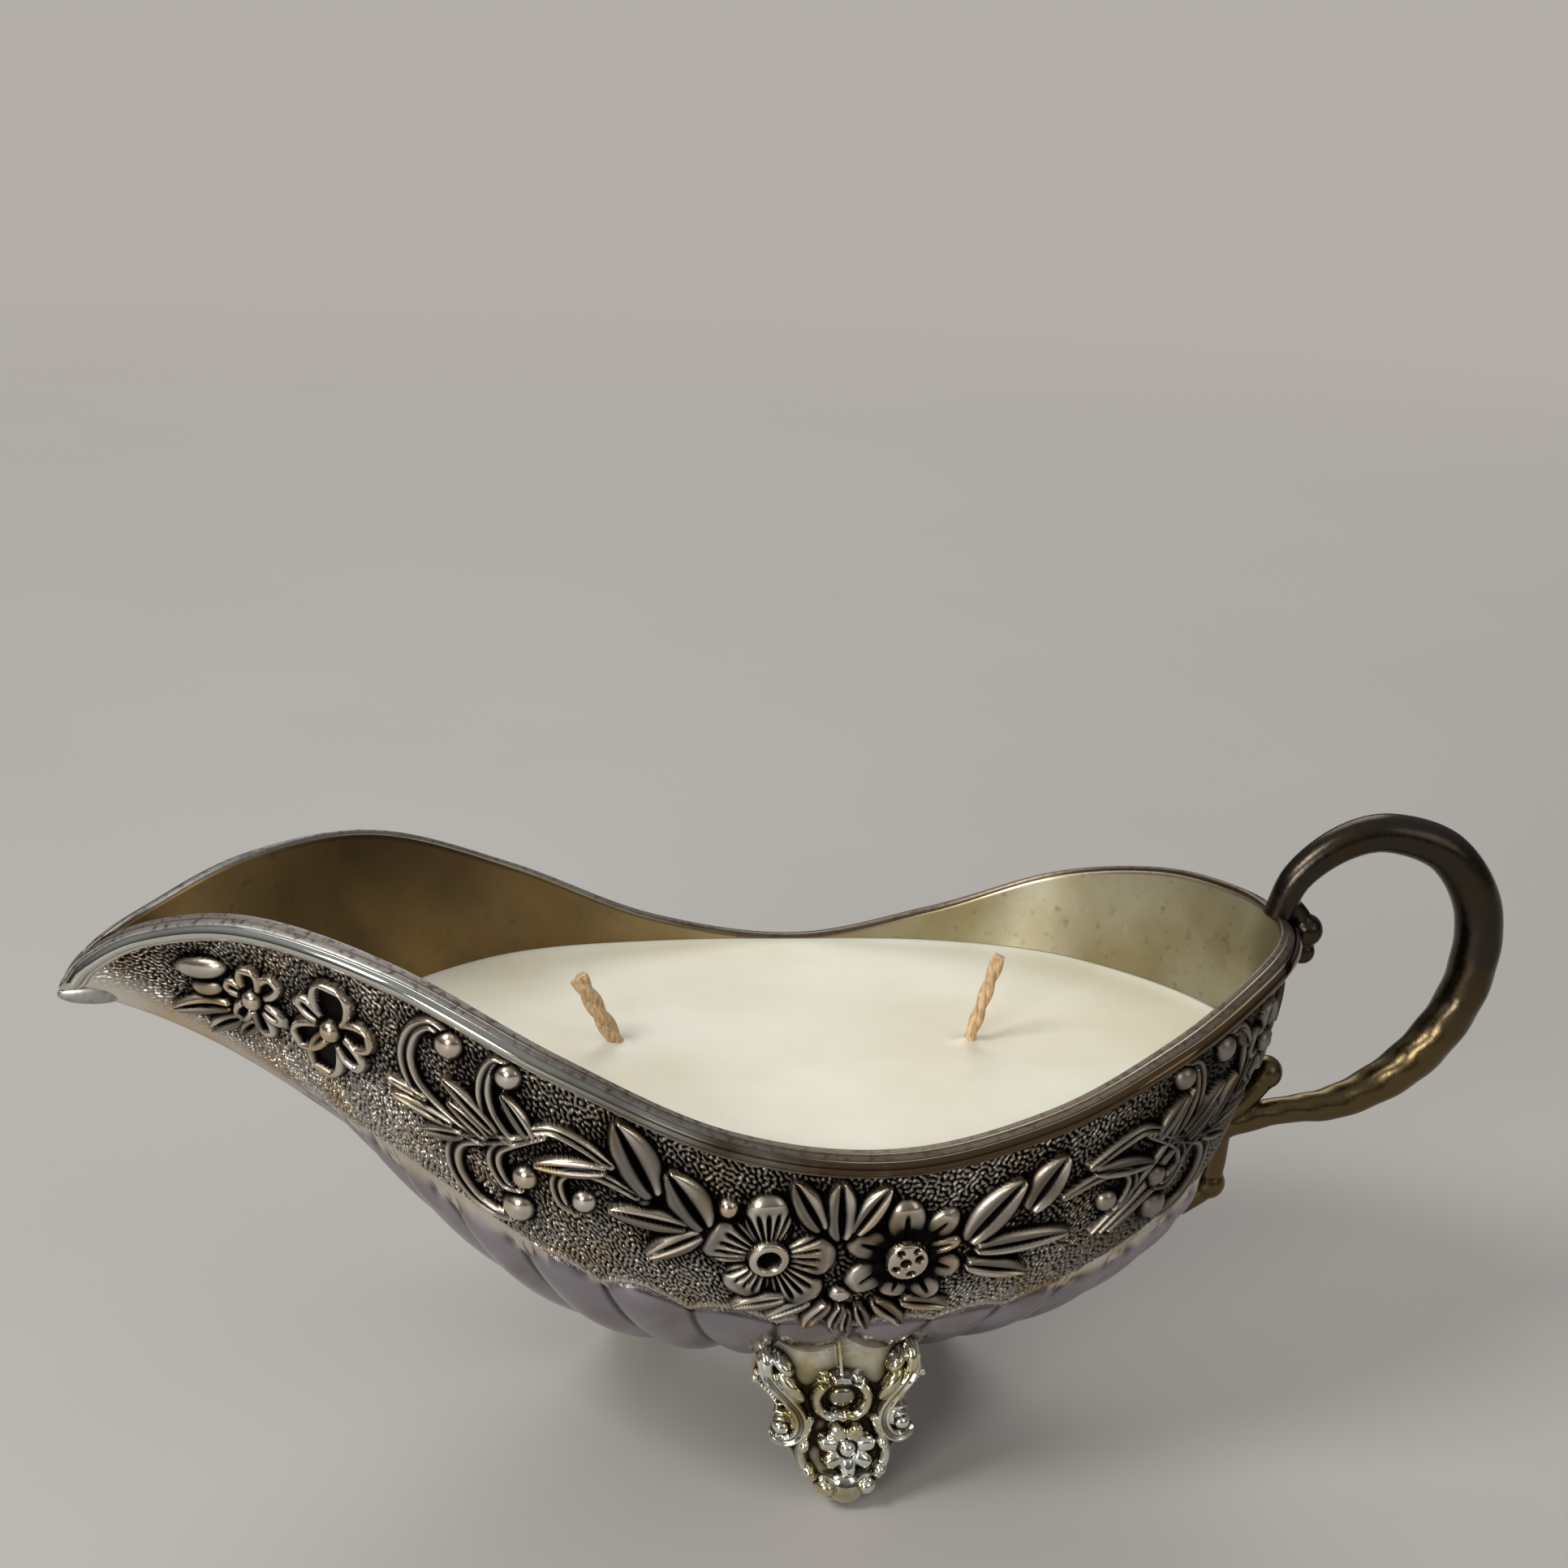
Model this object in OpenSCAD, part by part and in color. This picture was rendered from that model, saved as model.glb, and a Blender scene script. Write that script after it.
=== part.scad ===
// Footed silver sauce boat with an embossed bowl, filled with wax and two wicks.
// X runs from the spout to the handle, Y across the bowl, and Z up from the table the feet stand on,
// with the origin on the table at the middle of the length.

/* [Bowl] */
// Reach of the spout's tip from the middle of the length
spout_reach = 113; // [106:1:120]
// Reach of the bowl's stern from the middle of the length
stern_reach = 76; // [72:1:80]
// Width across the bowl at its rim
bowl_width = 86.4; // [80:0.2:92]
// Height of the lowest point of the rim
rim_low = 65.5; // [64:0.5:69]
// Height of the rim's crest beside the spout
rim_crest = 91.4; // [87:0.2:96]
// Height of the middle of the bowl's underside
belly_height = 22; // [21:0.5:23]
// Thickness of the bowl's wall
wall = 1.5; // [1.2:0.1:1.8]

/* [Flutes] */
// Lobes all round the underside
lobe_count = 40; // [36:2:44]
// Rise of a lobe above its creases
lobe_rise = 1.8; // [0.8:0.1:2]

/* [Embossing] */
// Rise of the flowers above the band
flower_rise = 1; // [0.6:0.1:1.6]
// Rise of the leaves and scrolls above the band
leaf_rise = 0.9; // [0.6:0.1:1.4]

/* [Rim] */
// How far the moulded wire stands out from the wall
rim_out = 2.3; // [1.8:0.1:2.8]
// Height of the moulded wire down the wall
rim_drop = 3.4; // [2.8:0.1:4]

/* [Handle] */
// Radius of the rod where it is thickest
rod_radius = 3.9; // [3.3:0.1:4.2]
// Turns of the soft twist along the lower half
rope_turns = 4; // [3:0.5:7]
// Depth of the hollows between the strands, as a share of the radius
rope_groove = 0.04; // [0.02:0.01:0.12]

/* [Feet] */
// Width of a foot across its knees
knee_width = 25; // [22:0.2:27]
// Width of the foot's shield behind the flower
shield_width = 15.8; // [14:0.2:17]
// Width of a foot's toe
toe_width = 8.4; // [7:0.2:10]
// Radius of the volutes at the ends of the foot's scrolls
volute_radius = 2.1; // [1.8:0.1:2.4]
// Petals of the flower on a foot
petal_count = 8; // [6:1:9]

/* [Candle] */
// Height of the wax surface
wax_level = 64.5; // [58:0.5:64.5]
// Shrinkage gap between the wax and the bowl
wax_gap = 0.15; // [0.1:0.05:0.4]
// Diameter of the wick by the spout
wick_spout_d = 3; // [2:0.2:4]
// Diameter of the wick by the stern
wick_stern_d = 2.4; // [2:0.2:4]
// Diameter of a wick tab
tab_d = 11; // [9:0.5:12]

/* [Hidden] */

silver = [0.56, 0.55, 0.52];
bright_silver = [0.72, 0.72, 0.66];
ivory = [0.93, 0.9, 0.82];
hemp = [0.67, 0.53, 0.36];

// Stations round half the rim, from the spout's tip to the stern:
// share of the half-width, and share of the way from the low point to the crest
rim_spread = [0, 0.03, 0.107, 0.34, 0.676, 0.924, 1, 0.993, 0.965, 0.84, 0.579, 0.287, 0];
rim_lift = [0.385, 0.59, 0.825, 1, 0.93, 0.556, 0.143, 0, 0.19, 0.5, 0.69, 0.737, 0.73];
station_step = 180 / (len(rim_spread) - 1);

// Fullness of the bowl's profile under the side, the spout and the stern:
// reach of the flat bottom, reach of the wall's foot, and height of the wall's foot
side_form = [0.7, 0.98, 0.2];
spout_form = [0.515, 0.62, 0.825];
stern_form = [0.9, 0.91, 0.37];
form_falloff = 2.4;
// Swell that rounds the section of the spout, and the angle over which it dies away
spout_swell = 3.5;
swell_spread = 54;

// The flutes meet at this point of the underside
belly = [1, 0, belly_height];
lobe_step = 360 / lobe_count;
around = 3 * lobe_count;
// Share of the profile that the flutes take under the spout and under the stern
flute_top = [0.635, 0.56];
// Rise of each scallop at the flutes' upper edge, and the stretch over which a lobe swells below it
scallop = 0.035;
lobe_swell = 0.06;
outer_levels = [0.08, 0.2, 0.34, 0.46, 0.55, 0.6, 0.64, 0.68, 0.72, 0.76, 0.8, 0.84, 0.88, 0.92, 0.965, 1];
inner_levels = [1, 0.84, 0.68, 0.52, 0.36, 0.2, 0.08];
wax_levels = [0.12, 0.34, 0.56, 0.8, 1];

// Flowers embossed on each side of the band: angle round the bowl, level, reach and number of the petals
flowers = [[94.4, 0.807, 11.5, 5], [107.7, 0.804, 11, 7], [52, 0.88, 9.5, 5], [40, 0.876, 8, 6],
           [158, 0.893, 8, 5]];
// Leaves and scrolls embossed there: angle and level of the root and of the tip, and width
leaves = [[84, 0.87, 81, 0.96, 6.8], [89, 0.84, 85, 0.925, 6.6], [87, 0.84, 79.5, 0.825, 4.4],
          [88.5, 0.84, 83, 0.755, 5], [99.4, 0.87, 96.3, 0.955, 5], [101, 0.85, 100.7, 0.96, 5.6],
          [102, 0.865, 105.4, 0.955, 5], [113.3, 0.82, 118.7, 0.92, 6.4], [119.5, 0.85, 123, 0.935, 6.4],
          [114, 0.8, 126, 0.777, 4.4], [113.7, 0.77, 121.8, 0.71, 4.4], [97, 0.715, 90, 0.665, 5],
          [108, 0.695, 114, 0.655, 5], [80.5, 0.89, 72.8, 0.85, 4.4],
          [63.3, 0.855, 61.5, 0.905, 4], [61.5, 0.905, 65.5, 0.955, 4.4], [69.5, 0.885, 70.5, 0.955, 4.4],
          [74, 0.895, 63, 0.85, 4.4], [76, 0.86, 77, 0.815, 4.4], [70, 0.84, 71.5, 0.8, 4.4],
          [66, 0.82, 64.5, 0.755, 4.4], [64.5, 0.755, 70, 0.74, 4.4],
          [149, 0.835, 152, 0.895, 4], [152, 0.895, 146, 0.95, 4.4], [140, 0.87, 138.5, 0.955, 4.4],
          [134, 0.885, 149, 0.83, 4.4], [131, 0.85, 130, 0.8, 4.4], [140, 0.82, 138, 0.78, 4.4],
          [145, 0.8, 147.5, 0.73, 4.4], [147.5, 0.73, 139.5, 0.71, 4.4]];

// Route of the handle's rod in the plane of symmetry, and its radius there as a share of the full one
handle_route = [[75, 83.8], [78, 91], [85, 96.5], [93, 98], [103, 94.2], [109.2, 84], [108.2, 70.5],
                [101, 59], [90, 52], [79, 50.2], [67, 48]];
handle_taper = [0.58, 0.65, 0.74, 0.81, 0.91, 1, 1, 0.96, 0.76, 0.58, 0.8];
rod_sides = 12;
rod_steps = 34;

// How far a foot's top stands to the left of its toe
foot_lean = -3;

// Toes on the table and the way each foot faces
toe_near = [4.5, -28.5];
toe_stern = [26.5, 25];
toe_spout = [-19.5, 27.5];

// Wick places: root on the wax, and the lean of the free end along X
wick_stern_at = [26.3, -0.8];
wick_spout_at = [-29.5, 1.8];
wick_stern_lean = [3.8, 14];
wick_spout_lean = [-6, 10.5];
tab_stern_z = 27.2;
tab_spout_z = 34;
tab_thickness = 0.4;
tab_neck = 3;
wick_sides = 12;
fit_gap = 0.05;

function clamp01(x) = min(1, max(0, x));
function smooth(x) = let (c = clamp01(x)) c * c * (3 - 2 * c);
function unit(a) = a / norm(a);

// Smooth curve through evenly spaced values, one segment at a time
function segment(a, b, c, d, f) =
    0.5 * (2 * b + (c - a) * f + (2 * a - 5 * b + 4 * c - d) * f * f + (3 * b - a - 3 * c + d) * f * f * f);

// Value at angle t of a list of stations that is mirrored past both ends
function station(list, sign, t) =
    let (last = len(list) - 1, u = t / station_step, i = min(last - 1, floor(u)))
    segment(i == 0 ? sign * list[1] : list[i - 1], list[i], list[i + 1],
            i + 2 > last ? sign * list[last - 1] : list[i + 2], u - i);

// Half the rim, by angle from the spout's tip (0) to the stern (180)
function rim_x(t) = (stern_reach - spout_reach) / 2 - (stern_reach + spout_reach) / 2 * cos(t);
function rim_y(t) = bowl_width / 2 * station(rim_spread, -1, t);
function rim_z(t) = rim_low + (rim_crest - rim_low) * station(rim_lift, 1, t);

function form(t) =
    let (bow = pow(max(0, cos(t)), form_falloff), aft = pow(max(0, -cos(t)), form_falloff))
    (1 - bow - aft) * side_form + bow * spout_form + aft * stern_form;

// Point of the smooth bowl at angle a round it (0 to 360) and level v from the belly (0) to the rim (1)
function bowl(a, v) =
    let (t = a > 180 ? 360 - a : a, side = a > 180 ? 1 : -1, f = form(t), top = rim_z(t),
         near = 3 * (1 - v) * (1 - v) * v, far = 3 * (1 - v) * v * v, end = v * v * v,
         reach = near * f[0] + far * f[1] + end,
         rise = far * f[2] + end,
         swell = spout_swell * sin(180 * clamp01(t / swell_spread)) * 2.25 * far)
    [belly.x + (rim_x(t) - belly.x) * reach, side * (rim_y(t) * reach + swell),
     belly.z + (top - belly.z) * rise];

function bowl_up(a, v) = unit(bowl(a, min(1, v + 0.01)) - bowl(a, v - 0.01));
function bowl_out(a, v) =
    let (step = 0.4, along = bowl((a + step) % 360, v) - bowl((a - step + 360) % 360, v))
    unit(cross(along, bowl_up(a, v)));

// Convex lobes with sharp creases, scalloped where they end against the band
function lobe(a) = let (f = (a / lobe_step + 0.5) % 1) 4 * f * (1 - f);
function flute(a, v) =
    let (t = a > 180 ? 360 - a : a,
         top = flute_top[0] + (flute_top[1] - flute_top[0]) * smooth((t - 75) / 35) + scallop * lobe(a))
    lobe_rise * lobe(a) * smooth((top - v) / lobe_swell) * smooth(v / 0.3) * smooth((t - 22) / 43);

// Height of the embossing at a point of the near side, from the flowers and leaves there
flower_frames = [for (f = flowers)
    [bowl(f[0], f[1]), unit(bowl(f[0] + 0.5, f[1]) - bowl(f[0] - 0.5, f[1])), bowl_up(f[0], f[1])]];
leaf_ends = [for (l = leaves) [bowl(l[0], l[1]), bowl(l[2], l[3])]];
function flower_height(p, flower, frame) =
    let (x = (p - frame[0]) * frame[1], y = (p - frame[0]) * frame[2], r = norm([x, y]),
         reach = flower[2] * (0.9 + 0.1 * cos(flower[3] * (atan2(y, x) - 90))))
    flower_rise * (smooth((reach - r) / 3) + 0.3 * smooth((4 - r) / 2));
function leaf_height(p, width, root, tip) =
    let (along = tip - root, f = clamp01((p - root) * along / (along * along)))
    leaf_rise * smooth((width / 2 + 1.2 - norm(p - root - f * along)) / 2.4);
function embossing(t, v) =
    v < 0.62 || v > 0.96 ? 0 :
    let (p = bowl(t, v))
    max(max([for (i = [0:len(flowers) - 1]) flower_height(p, flowers[i], flower_frames[i])]),
        max([for (i = [0:len(leaves) - 1]) leaf_height(p, leaves[i][4], leaf_ends[i][0], leaf_ends[i][1])]));

function bowl_outer(a, v) =
    bowl(a, v) + (flute(a, v) + embossing(a > 180 ? 360 - a : a, v)) * bowl_out(a, v);
// The inside keeps clear of the middle plane where the spout narrows to its tip
function bowl_inner(a, v, depth = wall) =
    let (p = bowl(a, v), n = bowl_out(a, v), share = 1 - min(0.6, depth * abs(n.y) / max(0.01, abs(p.y))))
    [p.x - depth * n.x, p.y * share, p.z - depth * n.z];

function angle_at(i) = (i + 0.5) * 360 / around;
function bowl_ring(v, inside = false) =
    [for (i = [0:around - 1]) inside ? bowl_inner(angle_at(i), v) : bowl_outer(angle_at(i), v)];

// Level at which the inside of the bowl reaches a height
function level_at(a, z, depth, low = 0.02, high = 1, passes = 14) =
    passes == 0 ? (low + high) / 2 :
    let (mid = (low + high) / 2)
    bowl_inner(a, mid, depth).z < z ? level_at(a, z, depth, mid, high, passes - 1)
                                    : level_at(a, z, depth, low, mid, passes - 1);

// Closed skin over a stack of rings that ends in a point at each end
module skin(rings, first, last) {
    n = len(rings[0]);
    m = len(rings);
    end = n * m + 1;
    polyhedron(
        points = concat([first], [for (r = rings) each r], [last]),
        faces = concat(
            [for (i = [0:n - 1]) [0, 1 + i, 1 + (i + 1) % n]],
            [for (j = [0:m - 2], i = [0:n - 1])
                let (a = 1 + j * n + i, b = 1 + j * n + (i + 1) % n)
                each [[a, a + n, b + n], [a, b + n, b]]],
            [for (i = [0:n - 1]) [end, end - n + (i + 1) % n, end - n + i]]));
}

// Closed skin over rings that follow each other round a loop
module loop_skin(rings) {
    n = len(rings[0]);
    m = len(rings);
    polyhedron(
        points = [for (r = rings) each r],
        faces = [for (j = [0:m - 1], i = [0:n - 1])
            let (k = (j + 1) % m, next = (i + 1) % n, a = j * n + i, b = j * n + next)
            each [[a, k * n + i, k * n + next], [a, k * n + next, b]]]);
}

module bowl_solid() {
    skin([for (v = outer_levels) bowl_ring(v)], belly, [belly.x, 0, 1.3 * rim_crest]);
}

module hull_shell() {
    color(silver)
    skin(concat([for (v = outer_levels) bowl_ring(v)], [for (v = inner_levels) bowl_ring(v, true)]),
         belly, belly + [0, 0, wall]);
}

// Section of the rim's wire: flat top, half-round bead and a small fillet, as [out from the wall, down it]
function rim_section(gap) =
    [[gap, -0.2], [0.7 * rim_out, -0.1], [rim_out, 0.3 * rim_drop], [0.85 * rim_out, 0.6 * rim_drop],
     [0.42 * rim_out, 0.8 * rim_drop], [gap, rim_drop]];

module rim_wire(gap) {
    loop_skin([for (i = [0:around - 1])
        let (a = angle_at(i), p = bowl(a, 1), n = bowl_out(a, 0.99), u = bowl_up(a, 0.99))
        [for (s = rim_section(gap)) p + s[0] * n - s[1] * u]]);
}

module rim_moulding() { color(silver) rim_wire(fit_gap); }

function route_point(list, u) =
    let (last = len(list) - 1, i = min(last - 1, floor(u)))
    segment(i == 0 ? 2 * list[0] - list[1] : list[i - 1], list[i], list[i + 1],
            i + 2 > last ? 2 * list[last] - list[last - 1] : list[i + 2], u - i);

function rod_ring(u) =
    let (last = len(handle_route) - 1, p = route_point(handle_route, u),
         q = route_point(handle_route, min(last, u + 0.05)) - route_point(handle_route, max(0, u - 0.05)),
         along = unit([q.x, 0, q.y]), side = [0, 1, 0], up = cross(side, along),
         r = rod_radius * route_point(handle_taper, u),
         rope = rope_groove * smooth((u - 4.4) / 2), turn = 360 * rope_turns * (u - 4) / (last - 4))
    [for (i = [0:rod_sides - 1])
        let (a = 360 * i / rod_sides)
        [p.x, 0, p.y] + r * (1 - rope + rope * cos(3 * (a - turn))) * (cos(a) * up + sin(a) * side)];

// Round bar through a list of points, each [x, y, z, radius]
module bar(points, sides = 8) {
    for (i = [0:len(points) - 2])
        hull() {
            translate([for (k = [0:2]) points[i][k]]) sphere(r = points[i][3], $fn = sides);
            translate([for (k = [0:2]) points[i + 1][k]]) sphere(r = points[i + 1][3], $fn = sides);
        }
}

module handle() {
    last = len(handle_route) - 1;
    color(silver)
    difference() {
        union() {
            skin([for (k = [0:rod_steps]) rod_ring(last * k / rod_steps)],
                 concat(handle_route[0].x, 0, handle_route[0].y),
                 concat(handle_route[last].x, 0, handle_route[last].y));
            // Bud of two balls under the upper end
            bar([[77, 0, 86.5, 1.7], [78.8, 0, 83.8, 1.8], [79.7, 0, 81.2, 2.9]], 10);
            bar([[79.7, 0, 81.2, 2.4], [79.3, 0, 78.9, 2.2]], 10);
            // Balls above and below the lower end, which spreads on the wall
            bar([[69, 0, 50, 2.8], [74.8, 0, 54.8, 2.3], [75.8, 0, 57.4, 2.8]], 10);
            bar([[68.5, 0, 49, 2.8], [68.8, 0, 41, 2.4], [67.9, 0, 37.2, 2.7], [64.4, 0, 33.4, 1.3]], 10);
        }
        bowl_solid();
        rim_wire(-wall / 2);
    }
}

function lean_at(z) = foot_lean * z / 30;

// Oval ring of the foot's body: height, half-width, place along Y and half-depth, turned by an angle
function foot_oval(slab, turn) =
    [for (a = [0:30:330])
        [lean_at(slab[0]) + slab[1] * cos(a + turn), slab[2] + slab[3] * sin(a + turn), slab[0]]];

module foot_loft(slabs, turn = 0) {
    first = slabs[0];
    last = slabs[len(slabs) - 1];
    skin([for (s = slabs) foot_oval(s, turn)], [lean_at(first[0]), first[2], first[0]],
         [lean_at(last[0]), last[2], last[0]]);
}

module foot_body() {
    knee = knee_width / 2;
    shield = shield_width / 2;
    foot_loft([[0, 0.3 * toe_width, 1.2, 1.7], [1.6, 0.5 * toe_width, -0.3, 3.5],
               [6.2, 0.94 * shield, 0, 3.1], [9.7, shield, 0.5, 2.7], [15.2, 0.94 * shield, 0.6, 2.6],
               [18.9, 0.74 * knee, 0, 2.9], [23.1, 0.97 * knee, -1, 3.2], [28.4, 0.97 * knee, -1.4, 3.2],
               [32.5, 0.92 * knee, -0.8, 2.2]]);
    // Bracket behind the knee that carries the bowl
    foot_loft([[15.5, 0.2 * knee_width, 0.7, 1.7], [22, 0.3 * knee_width, 3.2, 3.1],
               [31, 0.36 * knee_width, 5.8, 3.8]], 11);
}

// Point on one side of the foot, with a bar's radius: share of the half-width, place along Y and height
function beside(side, share, y, z, r = 0) = [side * share * knee_width / 2 + lean_at(z), y, z, r];

// Scroll from the knee down to its volute, on one side of the foot
module foot_scroll(side) {
    bar([beside(side, 0.98, -2.2, 23.6, 1.6), beside(side, 0.83, -2.5, 20.6, 1.4),
         beside(side, 0.66, -2.5, 17.2, 1.3), beside(side, 0.6, -2.3, 13, 1.1)], 6);
    // Bright collar over the knee
    bar([beside(side, 0.91, -2.8, 28, 1.3), beside(side, 0.93, -3.1, 24.3, 1.5)], 6);
    curl = beside(side, 0.76, -1.4, 13.3);
    translate([curl.x, curl.y, curl.z]) {
        scale([1, 0.65, 1]) sphere(r = volute_radius, $fn = 8);
        translate([0, -1.2, 0]) sphere(r = volute_radius / 2, $fn = 8);
    }
    // Swelling lobe of the neck, and the bead beside the toe
    lobe = beside(side, 0.38, -2.2, 26.4);
    translate([lobe.x, lobe.y, lobe.z]) scale([1, 0.55, 1.15]) sphere(r = 4.4, $fn = 7);
    translate([side * 0.4 * toe_width, -2.9, 4]) sphere(r = 1.2, $fn = 6);
}

// Flower on the foot's shield: a ball in a rosette of round petals
module foot_flower() {
    petal_step = 360 / petal_count;
    translate([lean_at(11.3), -1.8, 11.3]) rotate([90, 0, 0]) {
        linear_extrude(height = 1.5, scale = 0.75)
            polygon([for (i = [0:3 * petal_count - 1])
                let (a = petal_step * i / 3) (i % 3 == 0 ? 3.3 : 4.3) * [cos(a), sin(a)]]);
        translate([0, 0, 1.4]) sphere(r = 1.3, $fn = 8);
    }
}

// Kidney-shaped ring above the flower
module foot_ring() {
    translate([lean_at(18.8), -2.5, 18.8]) rotate([90, 0, 0]) scale([1.15, 0.8, 1])
        rotate_extrude($fn = 14) translate([3.3, 0]) circle(r = 1, $fn = 5);
}

module foot(toe) {
    face = [toe.x - belly.x, toe.y];
    yaw = abs(face.x) < 10 ? 0 : atan2(face.x, -face.y);
    color(bright_silver)
    difference() {
        translate([toe.x, toe.y, 0])
            rotate([0, 0, yaw]) {
                foot_body();
                foot_scroll(-1);
                foot_scroll(1);
                foot_flower();
                foot_ring();
            }
        bowl_solid();
        translate([-200, -200, -10]) cube([400, 400, 10]);
    }
}

module foot_near() { foot(toe_near); }
module foot_spout() { foot(toe_spout); }
module foot_stern() { foot(toe_stern); }

module tab_shape(at, z, wick_d, grow = 0) {
    translate([at.x, at.y, z - grow]) {
        cylinder(d = tab_d + 2 * grow, h = tab_thickness + 2 * grow, $fn = 48);
        cylinder(d = wick_d + 1 + 2 * grow, h = tab_thickness + tab_neck + 2 * grow, $fn = 32);
    }
}

// A wick stands straight in the wax and leans once it is free
function wick_ring(p, along, wick_d) =
    let (side = [0, 1, 0], up = cross(side, along))
    [for (i = [0:wick_sides - 1])
        let (a = 360 * i / wick_sides) p + wick_d / 2 * (cos(a) * up + sin(a) * side)];

module wick(at, lean, foot_z, wick_d) {
    root = [at.x, at.y, wax_level];
    tip = root + [lean.x, 0, lean.y];
    upright = [0, 0, 1];
    leaning = unit(tip - root);
    between = unit(upright + leaning);
    foot = [at.x, at.y, foot_z];
    color(hemp)
    skin([wick_ring(foot, upright, wick_d), wick_ring(root, upright, wick_d),
          wick_ring(root + wick_d / 2 * between, between, wick_d), wick_ring(tip, leaning, wick_d)],
         foot, tip);
}

module wick_hole(at, z, wick_d) {
    translate([at.x, at.y, z]) cylinder(d = wick_d + 2 * fit_gap, h = wax_level, $fn = 32);
}

module wax_fill() {
    depth = wall + wax_gap;
    tops = [for (i = [0:around - 1]) level_at(angle_at(i), wax_level, depth)];
    color(ivory)
    difference() {
        skin([for (s = wax_levels) [for (i = [0:around - 1]) bowl_inner(angle_at(i), s * tops[i], depth)]],
             belly + [0, 0, depth], [belly.x, 0, wax_level]);
        tab_shape(wick_stern_at, tab_stern_z, wick_stern_d, fit_gap);
        tab_shape(wick_spout_at, tab_spout_z, wick_spout_d, fit_gap);
        wick_hole(wick_stern_at, tab_stern_z, wick_stern_d);
        wick_hole(wick_spout_at, tab_spout_z, wick_spout_d);
    }
}

module wick_stern() { wick(wick_stern_at, wick_stern_lean, tab_stern_z + tab_thickness, wick_stern_d); }
module wick_spout() { wick(wick_spout_at, wick_spout_lean, tab_spout_z + tab_thickness, wick_spout_d); }

// A tab is a disc with a crimped neck round the wick's end
module tab(at, z, wick_d) {
    color("silver")
    difference() {
        tab_shape(at, z, wick_d);
        translate([at.x, at.y, z + tab_thickness])
            cylinder(d = wick_d + 2 * fit_gap, h = tab_neck + 1, $fn = 32);
    }
}
module tab_stern() { tab(wick_stern_at, tab_stern_z, wick_stern_d); }
module tab_spout() { tab(wick_spout_at, tab_spout_z, wick_spout_d); }

hull_shell();  // hull
rim_moulding();
handle();
foot_near();
foot_spout();
foot_stern();
wax_fill();
wick_spout();
wick_stern();
tab_spout();
tab_stern();
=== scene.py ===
import math
from functools import partial

import bpy
import numpy as np
from mathutils import Matrix, Vector


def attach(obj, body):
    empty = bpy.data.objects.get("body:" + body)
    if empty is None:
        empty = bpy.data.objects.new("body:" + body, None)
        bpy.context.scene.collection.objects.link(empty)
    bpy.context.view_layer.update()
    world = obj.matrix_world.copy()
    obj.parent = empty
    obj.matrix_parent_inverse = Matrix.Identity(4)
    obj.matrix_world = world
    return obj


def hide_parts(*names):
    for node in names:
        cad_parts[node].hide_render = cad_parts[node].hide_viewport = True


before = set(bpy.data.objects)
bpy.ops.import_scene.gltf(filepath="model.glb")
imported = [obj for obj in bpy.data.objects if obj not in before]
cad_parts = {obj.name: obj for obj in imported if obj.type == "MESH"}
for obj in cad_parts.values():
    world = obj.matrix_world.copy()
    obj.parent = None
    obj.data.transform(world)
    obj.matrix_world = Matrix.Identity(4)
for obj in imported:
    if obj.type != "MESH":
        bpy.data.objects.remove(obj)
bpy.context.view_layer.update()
print("frame loaded:", ", ".join(sorted(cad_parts)))

mm = 0.001  # every shape below is worked out in millimetres


def linearColor(hexCode):
    channels = [int(hexCode[i:i + 2], 16) / 255 for i in (1, 3, 5)]
    return [c / 12.92 if c <= 0.04045 else ((c + 0.055) / 1.055) ** 2.4 for c in channels] + [1.0]


def addNode(tree, kind, sockets=(), out=0, **settings):
    # adds a node with its settings and links, and hands back one of its outputs
    # sockets are given by name or in order, and a hex code among them is a colour
    node = tree.nodes.new(kind if "Node" in kind else "ShaderNode" + kind)
    for name, value in settings.items():
        setattr(node, name, value)
    for key, value in sockets.items() if isinstance(sockets, dict) else enumerate(sockets):
        if isinstance(value, bpy.types.NodeSocket):
            tree.links.new(value, node.inputs[key])
        else:
            node.inputs[key].default_value = linearColor(value) if isinstance(value, str) else value
    return node.outputs[out] if len(node.outputs) else node


def smooth(x):
    c = np.clip(x, 0, 1)
    return c * c * (3 - 2 * c)


def bell(x):
    return np.exp(-np.square(x))


def unit(a):
    return a / np.maximum(np.linalg.norm(a, axis=-1, keepdims=True), 1e-12)


def catmullRom(p, i, f):
    a, b, c, d = p[i], p[i + 1], p[i + 2], p[i + 3]
    return 0.5 * (2 * b + (c - a) * f + (2 * a - 5 * b + 4 * c - d) * f ** 2 + (3 * b - a - 3 * c + d) * f ** 3)


def throughPoints(points, count):
    # smooth curve through a list of points, ends included
    p = np.asarray(points, float)
    p = np.vstack([2 * p[0] - p[1], p, 2 * p[-1] - p[-2]])
    u = np.linspace(0, len(p) - 3, count)
    i = np.minimum(u.astype(int), len(p) - 4)
    return catmullRom(p, i, (u - i)[:, None])


def gridFaces(rows, cols, wrap=False, flip=False):
    a = np.arange(rows - 1)[:, None] * cols + np.arange(cols if wrap else cols - 1)[None, :]
    right = (a // cols) * cols + (a % cols + 1) % cols
    quads = np.stack([a, a + cols, right + cols, right], -1).reshape(-1, 4)
    return quads[:, ::-1] if flip else quads


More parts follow.
